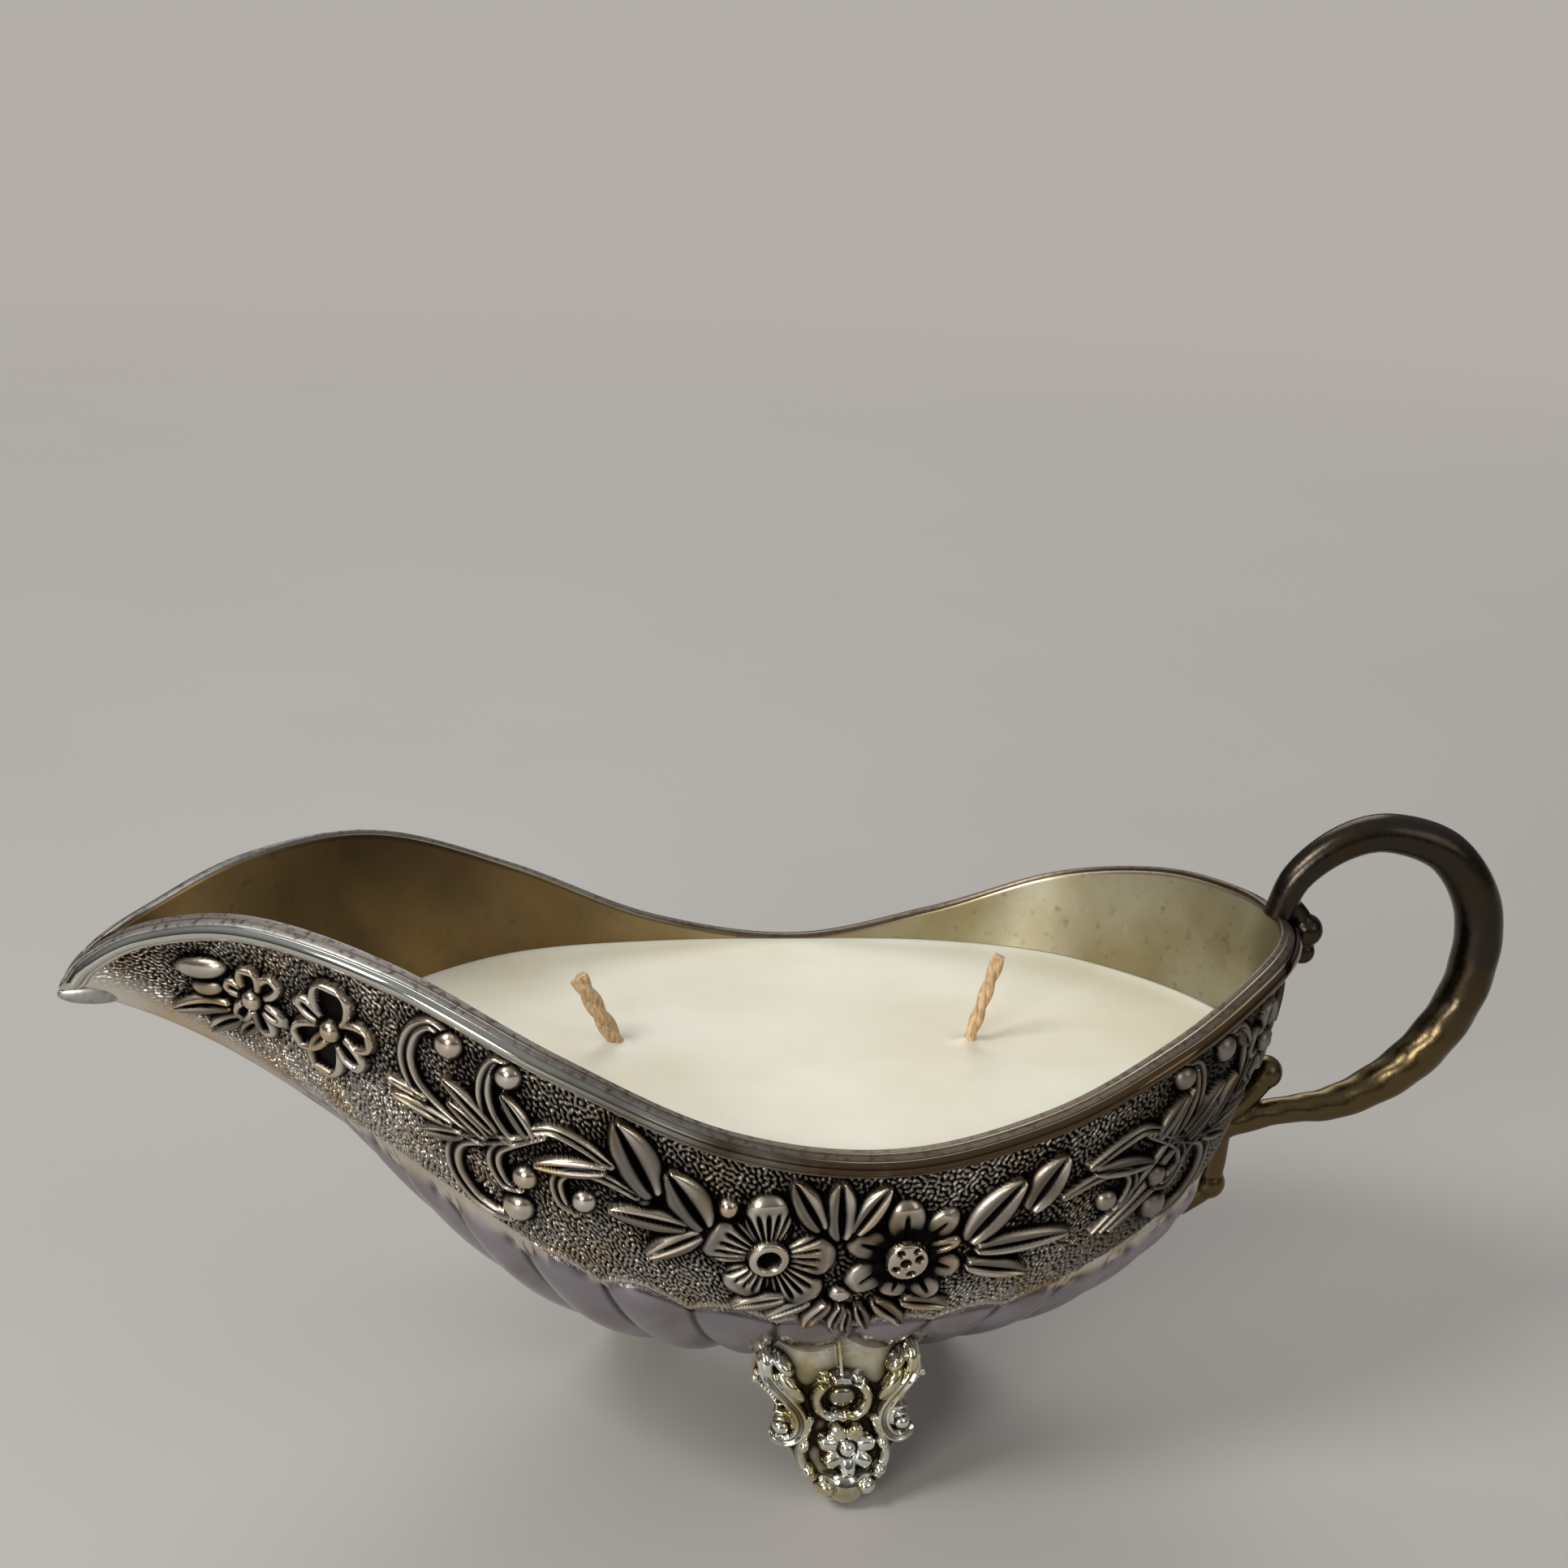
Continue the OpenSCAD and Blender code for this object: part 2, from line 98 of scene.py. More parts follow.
def closeLoft(rings, first, last):
    # closed skin over a stack of rings with a point at each end
    count, sides = rings.shape[:2]
    points = np.vstack([rings.reshape(-1, 3), [first], [last]])
    faces = gridFaces(count, sides, wrap=True).tolist()
    a, b = count * sides, count * sides + 1
    faces += [[i, (i + 1) % sides, a] for i in range(sides)]
    faces += [[(count - 1) * sides + (i + 1) % sides, (count - 1) * sides + i, b] for i in range(sides)]
    return points, faces


def ovalBall(middle, reach):
    # closed oval with its poles on X
    middle, reach = np.asarray(middle, float), np.asarray(reach, float)
    latitude, turn = np.radians(np.arange(-80, 81, 10))[:, None], np.radians(np.arange(0, 360, 15))
    across = np.cos(latitude)
    rings = np.stack([np.sin(latitude) + 0 * turn, across * np.sin(turn), -across * np.cos(turn)], -1)
    end = reach * (1, 0, 0)
    return closeLoft(middle + rings * reach, middle - end, middle + end)


def joinParts(parts):
    # lists of points and faces as one
    points, faces = np.vstack([p for p, _ in parts]), []
    start = 0
    for p, f in parts:
        faces += [[i + start for i in face] for face in f]
        start += len(p)
    return points, faces


def meshPiece(name, points, faces, material, normals=None, attributes=None):
    mesh = bpy.data.meshes.new(name)
    mesh.from_pydata((np.asarray(points) * mm).tolist(), [], [list(map(int, f)) for f in faces])
    mesh.validate()
    mesh.polygons.foreach_set("use_smooth", [True] * len(mesh.polygons))
    for key, values in (attributes or {}).items():
        layer = mesh.attributes.new(key, "FLOAT", "POINT")
        layer.data.foreach_set("value", np.asarray(values, np.float32).ravel())
    if normals is not None:
        mesh.normals_split_custom_set_from_vertices(np.asarray(normals).tolist())
    mesh.materials.append(material)
    piece = bpy.data.objects.new(name, mesh)
    bpy.context.scene.collection.objects.link(piece)
    return piece


def settle(piece, slotName, *nodes):
    # every piece of this object rides on its one body
    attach(piece, "root")
    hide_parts(*nodes)


# Camera at the photograph's viewing angle
view = {
    "target": (-5.44, 0, 106.87),  # mm
    "distance": 441.6,
    "azimuth": -10.72,  # degrees, 0 looks along +Y
    "pitch": 18.58,
    "roll": 3.11,
    "lens": 67.0, "sensor": 36.0,
}


def placeCamera():
    az, el, roll = (math.radians(view[k]) for k in ("azimuth", "pitch", "roll"))
    back = Vector((math.sin(az) * math.cos(el), -math.cos(az) * math.cos(el), math.sin(el)))
    level = Vector((math.cos(az), math.sin(az), 0))
    upright = back.cross(level)
    right = level * math.cos(roll) + upright * math.sin(roll)
    up = back.cross(right)
    data = bpy.data.cameras.new("camera")
    data.sensor_width = view["sensor"]
    data.lens = view["lens"]
    camera = bpy.data.objects.new("camera", data)
    turn = Matrix((right, up, back)).transposed().to_4x4()
    camera.matrix_world = Matrix.Translation((Vector(view["target"]) + back * view["distance"]) * mm) @ turn
    bpy.context.scene.collection.objects.link(camera)
    bpy.context.scene.camera = camera


placeCamera()
print("camera placed")


# Materials. A pattern is given as the width of its patches in mm and its detail

blend = {"out": 2, "data_type": "RGBA"}  # settings of a Mix node for colours, which go into sockets 6 and 7


def startFinish(name, *patterns):
    material = bpy.data.materials.new(name)
    material.use_nodes = True
    material.node_tree.nodes.clear()
    add = partial(addNode, material.node_tree)
    coords = add("TexCoord", out="Object")
    return material, add, coords, *(add("TexNoise", {"Vector": coords, "Scale": 1 / (width * mm), "Detail": detail})
                                    for width, detail in patterns)


def endFinish(material, sockets):
    add = partial(addNode, material.node_tree)
    add("OutputMaterial", {"Surface": add("BsdfPrincipled", sockets)})
    return material


silver = {
    "rubbed": "#d6cfc5", "warm": "#c6ac82",  # high spots of the embossing, with warmer random patches and a painted warm sheen on ledges that face up
    "recess": "#0b0908",  # antiquing left in the hollows
    "flute": "#a5a0a8", "fluteWarm": "#938b8d",
    "patches": (9, 3.0), "grain": (0.5, 2.0),
    "roughness": (0.19, 0.5),  # rubbed, antiqued
}


def embossedSilver():
    # Antiqued silver plate: rubbed bright on the relief, black oxide left in the hollows with painted shade mixed in,
    # clean flutes below, and a painted warm sheen on ledges that face up
    material, add, _, patches, grain = startFinish("embossedSilver", silver["patches"], silver["grain"])
    patinaAndShade, flute = (add("Attribute", out="Fac", attribute_name=name) for name in ("patinaAndShade", "flute"))
    tone = add("MapRange", (patches, 0.45, 0.72))
    # painted warm sheen: faces that turn up are tinted warm, as if lit from above
    rise = add("SeparateXYZ", [add("NewGeometry", out="Normal")], "Z")
    litLedge = add("MapRange", (rise, 0.1, 0.6, 0, 0.55))
    tintAndSheen = add("Math", (tone, litLedge), operation="MAXIMUM")
    metal = add("Mix", {0: tintAndSheen, 6: silver["rubbed"], 7: silver["warm"]}, **blend)
    clean = add("Mix", {0: tone, 6: silver["flute"], 7: silver["fluteWarm"]}, **blend)
    plate = add("Mix", {0: flute, 6: metal, 7: clean}, **blend)
    color = add("Mix", {0: patinaAndShade, 6: plate, 7: silver["recess"]}, **blend)
    rough = add("MapRange", (patinaAndShade, 0, 1, *silver["roughness"]))
    bump = add("Bump", {"Height": grain, "Strength": 0.12, "Distance": 0.0002})
    return endFinish(material, {"Base Color": color, "Roughness": rough, "Normal": bump, "Metallic": 1.0})


inside = {
    # the spout and stern tones carry painted reflections, and the tarnish tone is tarnish with painted shade high up
    "spout": ("#ab8e5c", "#8c734b"), "stern": ("#b9b39d", "#9d916d"), "tarnishAndShade": "#3b3128", "speck": "#4c432f",
    "patches": (16, 3.0), "specks": (1.6, 4.0), "roughness": (0.26, 0.42),
}


def insideSilver():
    # Inside of the bowl, once polished: golden brown and darker up the spout with painted shade, pale greenish silver
    # by the stern, both tones partly painted reflection
    material, add, coords, patches, specks = startFinish("insideSilver", inside["patches"], inside["specks"])
    x, z = (add("SeparateXYZ", [coords], axis) for axis in "XZ")
    cloud = add("MapRange", (patches, 0.38, 0.66))
    spout, stern = (add("Mix", {0: cloud, 6: inside[k][0], 7: inside[k][1]}, **blend) for k in ("spout", "stern"))
    aft = add("MapRange", (x, -0.035, 0.03))
    base = add("Mix", {0: aft, 6: spout, 7: stern}, **blend)
    shade = add("MapRange", (z, 0.06, 0.088, 0.4, 0.85))
    for start, full in ((0.0, -0.03), (-0.095, -0.07)):  # painted shade, darkest high up, between the nose and the middle
        shade = add("Math", (shade, add("MapRange", (x, start, full))), operation="MULTIPLY")
    tarnishedAndShaded = add("Mix", {0: shade, 6: base, 7: inside["tarnishAndShade"]}, **blend)
    spot = add("MapRange", (specks, 0.6, 0.78, 0, 0.45))
    color = add("Mix", {0: spot, 6: tarnishedAndShaded, 7: inside["speck"]}, **blend)
    rough = add("MapRange", (patches, 0.3, 0.7, *inside["roughness"]))
    return endFinish(material, {"Base Color": color, "Roughness": rough, "Metallic": 1.0})


wireTones = {  # by the spout and aft: a painted highlight by the spout, painted dark reflection aft
    "bead": ("#c6c7bd", "#5c4b36"), "filed": ("#9a9590", "#7d7264"), "worn": "#5f5750",
    "patches": (7, 3.0), "wear": (1.1, 4.0), "roughness": (0.1, 0.5),
}


def mouldedSilver():
    # Drawn rim wire: polished bead and matt filed top, bright by the spout as a painted highlight and darkened to
    # bronze aft as painted dark reflection
    material, add, coords, patches, wear = startFinish("mouldedSilver", wireTones["patches"], wireTones["wear"])
    flat = add("Attribute", out="Fac", attribute_name="flat")
    x = add("SeparateXYZ", [coords], "X")
    drift = add("Math", (patches, 0.06, x), operation="MULTIPLY_ADD")
    # painted light along the wire: bright by the spout, dark bronze aft
    aft = add("MapRange", (drift, -0.035, 0.025))
    bead, filed = (add("Mix", {0: aft, 6: wireTones[k][0], 7: wireTones[k][1]}, **blend) for k in ("bead", "filed"))
    worn = add("MapRange", (wear, 0.5, 0.66))
    matt = add("Mix", {0: worn, 6: filed, 7: wireTones["worn"]}, **blend)
    color = add("Mix", {0: flat, 6: bead, 7: matt}, **blend)
    rough = add("MapRange", (flat, 0, 1, *wireTones["roughness"]))
    return endFinish(material, {"Base Color": color, "Roughness": rough, "Metallic": 1.0})


def castSilver(name, high, deep, roughness, tintAndSheen=None):
    # Cast and plated silver, hand polished, with tarnish left in the recesses (on a foot with painted shade as well)
    # and a painted warm reflection low down if asked
    material, add, coords, patches, skin = startFinish(name, (5, 3.0), (0.9, 3.0))  # stains, casting skin
    hollow = add("Attribute", out="Fac", attribute_name="patinaAndShade")
    tone = add("MapRange", (patches, 0.4, 0.68))
    metal = add("Mix", {0: tone, 6: high[0], 7: high[1]}, **blend)
    if tintAndSheen:
        # painted golden reflection on the lower part
        low = add("MapRange", (add("SeparateXYZ", [coords], "Z"), 0.078, 0.058))
        metal = add("Mix", {0: low, 6: metal, 7: tintAndSheen}, **blend)
    color = add("Mix", {0: hollow, 6: metal, 7: deep}, **blend)
    rough = add("MapRange", (skin, 0.3, 0.7, *roughness))
    bump = add("Bump", {"Height": skin, "Strength": 0.1, "Distance": 0.0003})
    return endFinish(material, {"Base Color": color, "Roughness": rough, "Normal": bump, "Metallic": 1.0})


def pouredWax():
    # Ivory soy wax: soft sheen, light bleeding a few millimetres under the skin
    material, add, _, clouds, grain = startFinish("pouredWax", (24, 2.0), (2.5, 3.0))  # clouding, bloom
    bloom = add("MapRange", (clouds, 0.35, 0.7))
    color = add("Mix", {0: bloom, 6: "#e8e3d0", 7: "#dfd6bc"}, **blend)
    rough = add("MapRange", (grain, 0.3, 0.7, 0.4, 0.55))
    bump = add("Bump", {"Height": clouds, "Strength": 0.15, "Distance": 0.0006})
    return endFinish(material, {"Base Color": color, "Roughness": rough, "Normal": bump, "IOR": 1.44,
                                "Subsurface Weight": 0.35, "Subsurface Radius": (1.0, 0.75, 0.5),
                                "Subsurface Scale": 0.004})


def hempYarn():
    # Waxed hemp yarn: pale dry fibres along the plies, a little darker in patches
    material, add, coords = startFinish("hempYarn")
    stretched = add("Mapping", {"Vector": coords, "Scale": (1, 1, 0.25)})
    fibre = add("TexNoise", {"Vector": stretched, "Scale": 1 / (0.4 * mm), "Detail": 4.0})  # bundles of fibre
    shade = add("MapRange", (fibre, 0.38, 0.68))
    color = add("Mix", {0: shade, 6: "#d8b98e", 7: "#a9804f"}, **blend)
    bump = add("Bump", {"Height": fibre, "Strength": 0.4, "Distance": 0.0002})
    return endFinish(material, {"Base Color": color, "Normal": bump, "Roughness": 0.75, "Sheen Weight": 0.2})


def tinplate():
    # Pressed tinplate of the wick tabs, dull grey with a little tarnish
    material, add, _, spots = startFinish("tinplate", (2, 3.0))
    color = add("Mix", {0: spots, 6: "#b5b5b2", 7: "#8f8e88"}, **blend)
    return endFinish(material, {"Base Color": color, "Metallic": 1.0, "Roughness": 0.4})


bandFinish = embossedSilver()
insideFinish = insideSilver()
rimFinish = mouldedSilver()
# dark colours for the handle as painted dark reflection on bronzed silver, golden low down as painted reflection
handleFinish = castSilver("bronzedAndShadedSilver", ("#3d3731", "#443929"), "#0e0b08", (0.22, 0.32), "#635439")
footFinish = castSilver("brightCastSilver", ("#eef0e6", "#c6b888"), "#2c2316", (0.1, 0.18))
waxFinish = pouredWax()
hempFinish = hempYarn()
tabFinish = tinplate()
print("materials made")


# Form of the bowl, by angle round it from the spout's tip (0) to the stern (180) and level from belly to rim

bowl = {
    "spoutReach": 113, "sternReach": 76, "width": 86.4, "rimLow": 65.5, "rimCrest": 91.4,
    "bellyX": 1, "bellyHeight": 22, "wall": 1.5,
    "rimSpread": [0, 0.03, 0.107, 0.34, 0.676, 0.924, 1, 0.993, 0.965, 0.84, 0.579, 0.287, 0],
    "rimLift": [0.385, 0.59, 0.825, 1, 0.93, 0.556, 0.143, 0, 0.19, 0.5, 0.69, 0.737, 0.73],
    "sideForm": (0.7, 0.98, 0.2), "spoutForm": (0.515, 0.62, 0.825), "sternForm": (0.9, 0.91, 0.37),
    "formFalloff": 2.4, "spoutSwell": 3.5, "swellSpread": 54,
    "lobes": 40, "lobeRise": 1.8, "lipRise": 0.35, "fluteTop": (0.635, 0.56), "scallop": 0.035,
    "step": 0.2,  # mm between points of the embossed band
    "bandDepth": 37, "restRows": 40,
}


def stationValue(values, sign, t):
    # curve through evenly spaced stations, mirrored past both ends with that sign
    ends = np.array([sign * values[1]] + list(values) + [sign * values[-2]])
    last = len(values) - 1
    u = np.asarray(t, float) * last / 180
    i = np.clip(np.floor(u).astype(int), 0, last - 1)
    return catmullRom(ends, i, u - i)


def bowlPoint(t, v):
    # near side of the smooth bowl
    t, v = np.broadcast_arrays(np.asarray(t, float), np.asarray(v, float))
    along = np.cos(np.radians(t))
    middle = (bowl["sternReach"] - bowl["spoutReach"]) / 2
    rimX = middle - (bowl["sternReach"] + bowl["spoutReach"]) / 2 * along
    rimY = bowl["width"] / 2 * stationValue(bowl["rimSpread"], -1, t)
    rimZ = bowl["rimLow"] + (bowl["rimCrest"] - bowl["rimLow"]) * stationValue(bowl["rimLift"], 1, t)
    bow = np.maximum(0, along) ** bowl["formFalloff"]
    aft = np.maximum(0, -along) ** bowl["formFalloff"]
    flat, foot, rise = ((1 - bow - aft) * s + bow * p + aft * r for s, p, r in
                        zip(bowl["sideForm"], bowl["spoutForm"], bowl["sternForm"]))
    near, far, end = 3 * (1 - v) ** 2 * v, 3 * (1 - v) * v ** 2, v ** 3
    reach = near * flat + far * foot + end
    swell = bowl["spoutSwell"] * np.sin(np.pi * np.clip(t / bowl["swellSpread"], 0, 1)) * 2.25 * far
    x = bowl["bellyX"] + (rimX - bowl["bellyX"]) * reach
    z = bowl["bellyHeight"] + (rimZ - bowl["bellyHeight"]) * (far * rise + end)
    return np.stack([x, -(rimY * reach + swell), z], -1)


def bowlNormal(t, v):
    along = bowlPoint(np.minimum(t + 0.4, 180), v) - bowlPoint(np.maximum(t - 0.4, 0), v)
    down = bowlPoint(t, np.maximum(v - 0.01, 0)) - bowlPoint(t, np.minimum(v + 0.01, 1))
    n = np.cross(down, along)
    onPlane = (np.asarray(t) <= 0) | (np.asarray(t) >= 180)
    n[..., 1] = np.where(onPlane, 0, n[..., 1])
    return unit(n)


rimAngles = np.linspace(0, 180, 3601)
rimArc = np.concatenate([[0], np.cumsum(np.linalg.norm(np.diff(bowlPoint(rimAngles, 1.0), axis=0), axis=1))])
levels = np.linspace(1, 0, 501)


def angleAt(along):
    # angle round the bowl at a length along the rim from the spout's tip
    return np.interp(along, rimArc, rimAngles)


def depthTable(t):
    # length down the wall from the rim at each level
    steps = np.linalg.norm(np.diff(bowlPoint(t, levels), axis=0), axis=1)
    return np.concatenate([[0], np.cumsum(steps)])


def lobeAt(t):
    f = (t * bowl["lobes"] / 360 + 0.5) % 1
    return 4 * f * (1 - f)


def fluteEdge(t):
    # level at which the flutes end against the band, scalloped lobe by lobe
    low, high = bowl["fluteTop"]
    return low + (high - low) * smooth((t - 75) / 35) + bowl["scallop"] * lobeAt(t)


# Carving. A field is a surface with its relief so far, and a spot gives the point and normal at a place on it

def newField(points, spot):
    return {"points": points, "spot": spot, "height": np.zeros(len(points)), "stainAndShade": np.zeros(len(points))}


def raiseOver(field, picked, height, stainAndShade=0.0, always=False):
    # the higher of two reliefs shows, with the stain and painted shade of its own
    over = (height > 0) if always else height > field["height"][picked]
    rows = picked[over]
    field["height"][rows] = height[over]
    field["stainAndShade"][rows] = np.broadcast_to(stainAndShade, height.shape)[over]


def pointsNear(field, middle, reach):
    return np.nonzero(((field["points"] - middle) ** 2).sum(1) < reach ** 2)[0]


def lineFrame(field, start, end, width):
    # points round a line on the surface: share along it, mm to its side, and its length
    a, n = field["spot"](start)
    b, _ = field["spot"](end)
    length = np.linalg.norm(b - a)
    axis = (b - a) / length
    side = unit(np.cross(n, axis))
    picked = pointsNear(field, (a + b) / 2, length / 2 + width)
    delta = field["points"][picked] - a
    return picked, delta @ axis / length, delta @ side, length


def raiseLeaf(field, base, tip, width, lift):
    # two plump halves with a slit between them, the left one darker with painted shade
    picked, x, y, _ = lineFrame(field, base, tip, width)
    along = np.clip(x, 0, 1) ** 0.85
    half = np.maximum(width / 2 * (4 * along * (1 - along)) ** 0.7, 1e-3)
    q = np.clip(np.abs(y) / half, 0, 1)
    plump = np.sin(np.pi * q ** 0.9) ** 0.65
    slit = bell(y / (0.16 + 0.04 * width * (1 - x)))
    ends = smooth(x / 0.08) * smooth((1 - x) / 0.06)
    # oxide in the slit, painted shade over the left half
    stainAndShade = np.maximum(slit, 0.7 * (y > 0) * plump ** 3)
    raiseOver(field, picked, lift * (0.12 + 0.88 * plump) * (q < 1) * ends, stainAndShade)


def raiseDome(field, base, tip, width, lift, stainAndShade=0.0):
    # smooth oval swelling along a line
    picked, x, y, _ = lineFrame(field, base, tip, width)
    q = (2 * x - 1) ** 2 + (2 * y / width) ** 2
    raiseOver(field, picked, lift * np.sqrt(np.clip(1 - q, 0, 1)), stainAndShade)


def raisePetal(field, centre, tip, width, lift, kind):
    # broad and rounded at its end; ribbed or spooned towards the flower's heart, or a cup with a thick rim
    picked, x, y, length = lineFrame(field, centre, tip, width)
    tail = np.sqrt(np.clip(1 - ((x - 0.62) / 0.38) ** 2, 0, 1))
    half = width / 2 * np.where(x > 0.62, tail, 0.4 + 0.6 * np.sin(np.pi / 2 * np.clip(x / 0.62, 0, 1)))
    half = np.maximum(half, 1e-3)
    q = np.abs(y) / half
    edge = np.minimum(half - np.abs(y), (1 - x) * length)
    crown = np.sqrt(np.clip(1 - q ** 2.6, 0, 1)) * (0.55 + 0.45 * smooth(x / 0.7))
    crown = crown * np.sqrt(np.clip((1 - x) / 0.16, 0, 1))
    stainAndShade = np.zeros(len(x))
    if kind == "ribbed":
        turn = np.arctan2(y, np.maximum(x, 0.02) * length) / math.atan2(width / 2, 0.62 * length)
        groove = (0.5 - 0.5 * np.cos(2 * np.pi * (2.5 * turn + 0.5))) ** 2 * (1 - smooth((x - 0.55) / 0.22))
        crown, stainAndShade = crown * (1 - 0.8 * groove), groove
    if kind == "spoon":
        crease = bell(y / 0.28) * (1 - smooth((x - 0.62) / 0.2))
        hollow = bell((x - 0.42) / 0.2) * bell(q / 0.75)
        crown, stainAndShade = crown * (1 - 0.5 * hollow) * (1 - 0.6 * crease), np.maximum(0.75 * hollow, crease)
    if kind == "cup":
        tube = np.sqrt(np.clip(1 - ((edge - 0.85) / 0.85) ** 2, 0, 1))
        crown = (0.6 + 0.4 * smooth(x / 0.6)) * np.maximum(tube, 0.25 * smooth(edge / 1.2))
        stainAndShade = 0.95 * smooth((edge - 1.25) / 0.5)
    inside = (x > 0) & (x < 1) & (q < 1)
    raiseOver(field, picked, lift * crown * inside, stainAndShade)


def flatFrame(field, place, reach):
    # points round a place: mm to the right of it, mm above it
    middle, n = field["spot"](place)
    picked = pointsNear(field, middle, reach)
    delta = field["points"][picked] - middle
    right = unit(np.cross((0, 0, 1), n)) * -1
    return picked, delta @ right, delta @ np.cross(n, right) * -1


def raiseBall(field, place, radius, sunk=0.0):
    picked, x, y = flatFrame(field, place, radius * 1.3)
    raiseOver(field, picked, np.sqrt(np.clip(radius ** 2 - x ** 2 - y ** 2, 0, None)) - sunk, always=True)


def raiseButton(field, place, radius, pits):
    # domed seed head with pits: each place from its middle and radius
    picked, x, y = flatFrame(field, place, radius * 1.3)
    across = np.hypot(x, y)
    dome = 1.1 + 1.0 * np.sqrt(np.clip(1 - (across / radius) ** 2, 0, 1))
    dip = np.zeros(len(picked))
    for px, py, r in pits:
        dip = np.maximum(dip, 1 - smooth((np.hypot(x - px, y - py) - r * 0.75) / (r * 0.45)))
    height = dome * smooth((radius - across) / 0.35) * (1 - 0.8 * dip)
    raiseOver(field, picked, height, np.maximum(dip, smooth((across - radius + 0.25) / 0.25)), always=True)


def raiseStem(field, route, width, lift, ridges=2, even=False):
    # rounded strip along a route, with parallel ridges, thinner at its ends unless it is even
    path = throughPoints(route, 12 * len(route))
    spots = [field["spot"](p) for p in path]
    line, normal = np.array([s[0] for s in spots]), np.array([s[1] for s in spots])
    picked = pointsNear(field, line.mean(0), np.linalg.norm(line - line.mean(0), axis=1).max() + width)
    points = field["points"][picked]
    start, step = line[:-1], np.diff(line, axis=0)
    best = np.full(len(points), 1e9)
    share, hand = np.zeros(len(points)), np.zeros(len(points))
    for i in range(len(step)):
        f = np.clip((points - start[i]) @ step[i] / (step[i] @ step[i]), 0, 1)
        delta = points - start[i] - f[:, None] * step[i]
        away = np.linalg.norm(delta, axis=1)
        closer = away < best
        share = np.where(closer, (i + f) / len(step), share)
        hand = np.where(closer, np.sign(delta @ np.cross(normal[i], step[i])), hand)
        best = np.minimum(best, away)
    half = width / 2 * (1 if even else 0.5 + 0.5 * np.sin(np.pi * np.clip(share * 0.85 + 0.08, 0, 1)))
    q = np.clip(best / half, 0, 1) * hand
    groove = 0.5 - 0.5 * np.cos(np.pi * ridges * (q + 1))
    shape = np.sqrt(1 - q ** 4) * (0.62 + 0.38 * groove)
    raiseOver(field, picked, lift * shape * (np.abs(q) < 1), 0.75 * (1 - groove) * (np.abs(q) < 0.85))


def blur(values, radius):
    # three passes of a running mean, close to a Gaussian
    for _ in range(3):
        for axis in (0, 1):
            pad = [(radius + 1, radius) if a == axis else (0, 0) for a in (0, 1)]
            sums = np.cumsum(np.pad(values, pad, mode="edge"), axis=axis)
            width = 2 * radius + 1
            high = np.take(sums, np.arange(width, sums.shape[axis]), axis=axis)
            low = np.take(sums, np.arange(0, sums.shape[axis] - width), axis=axis)
            values = (high - low) / width
    return values


# Relief of the embossed band. A place is (mm along the rim from the spout's tip, mm down the wall)

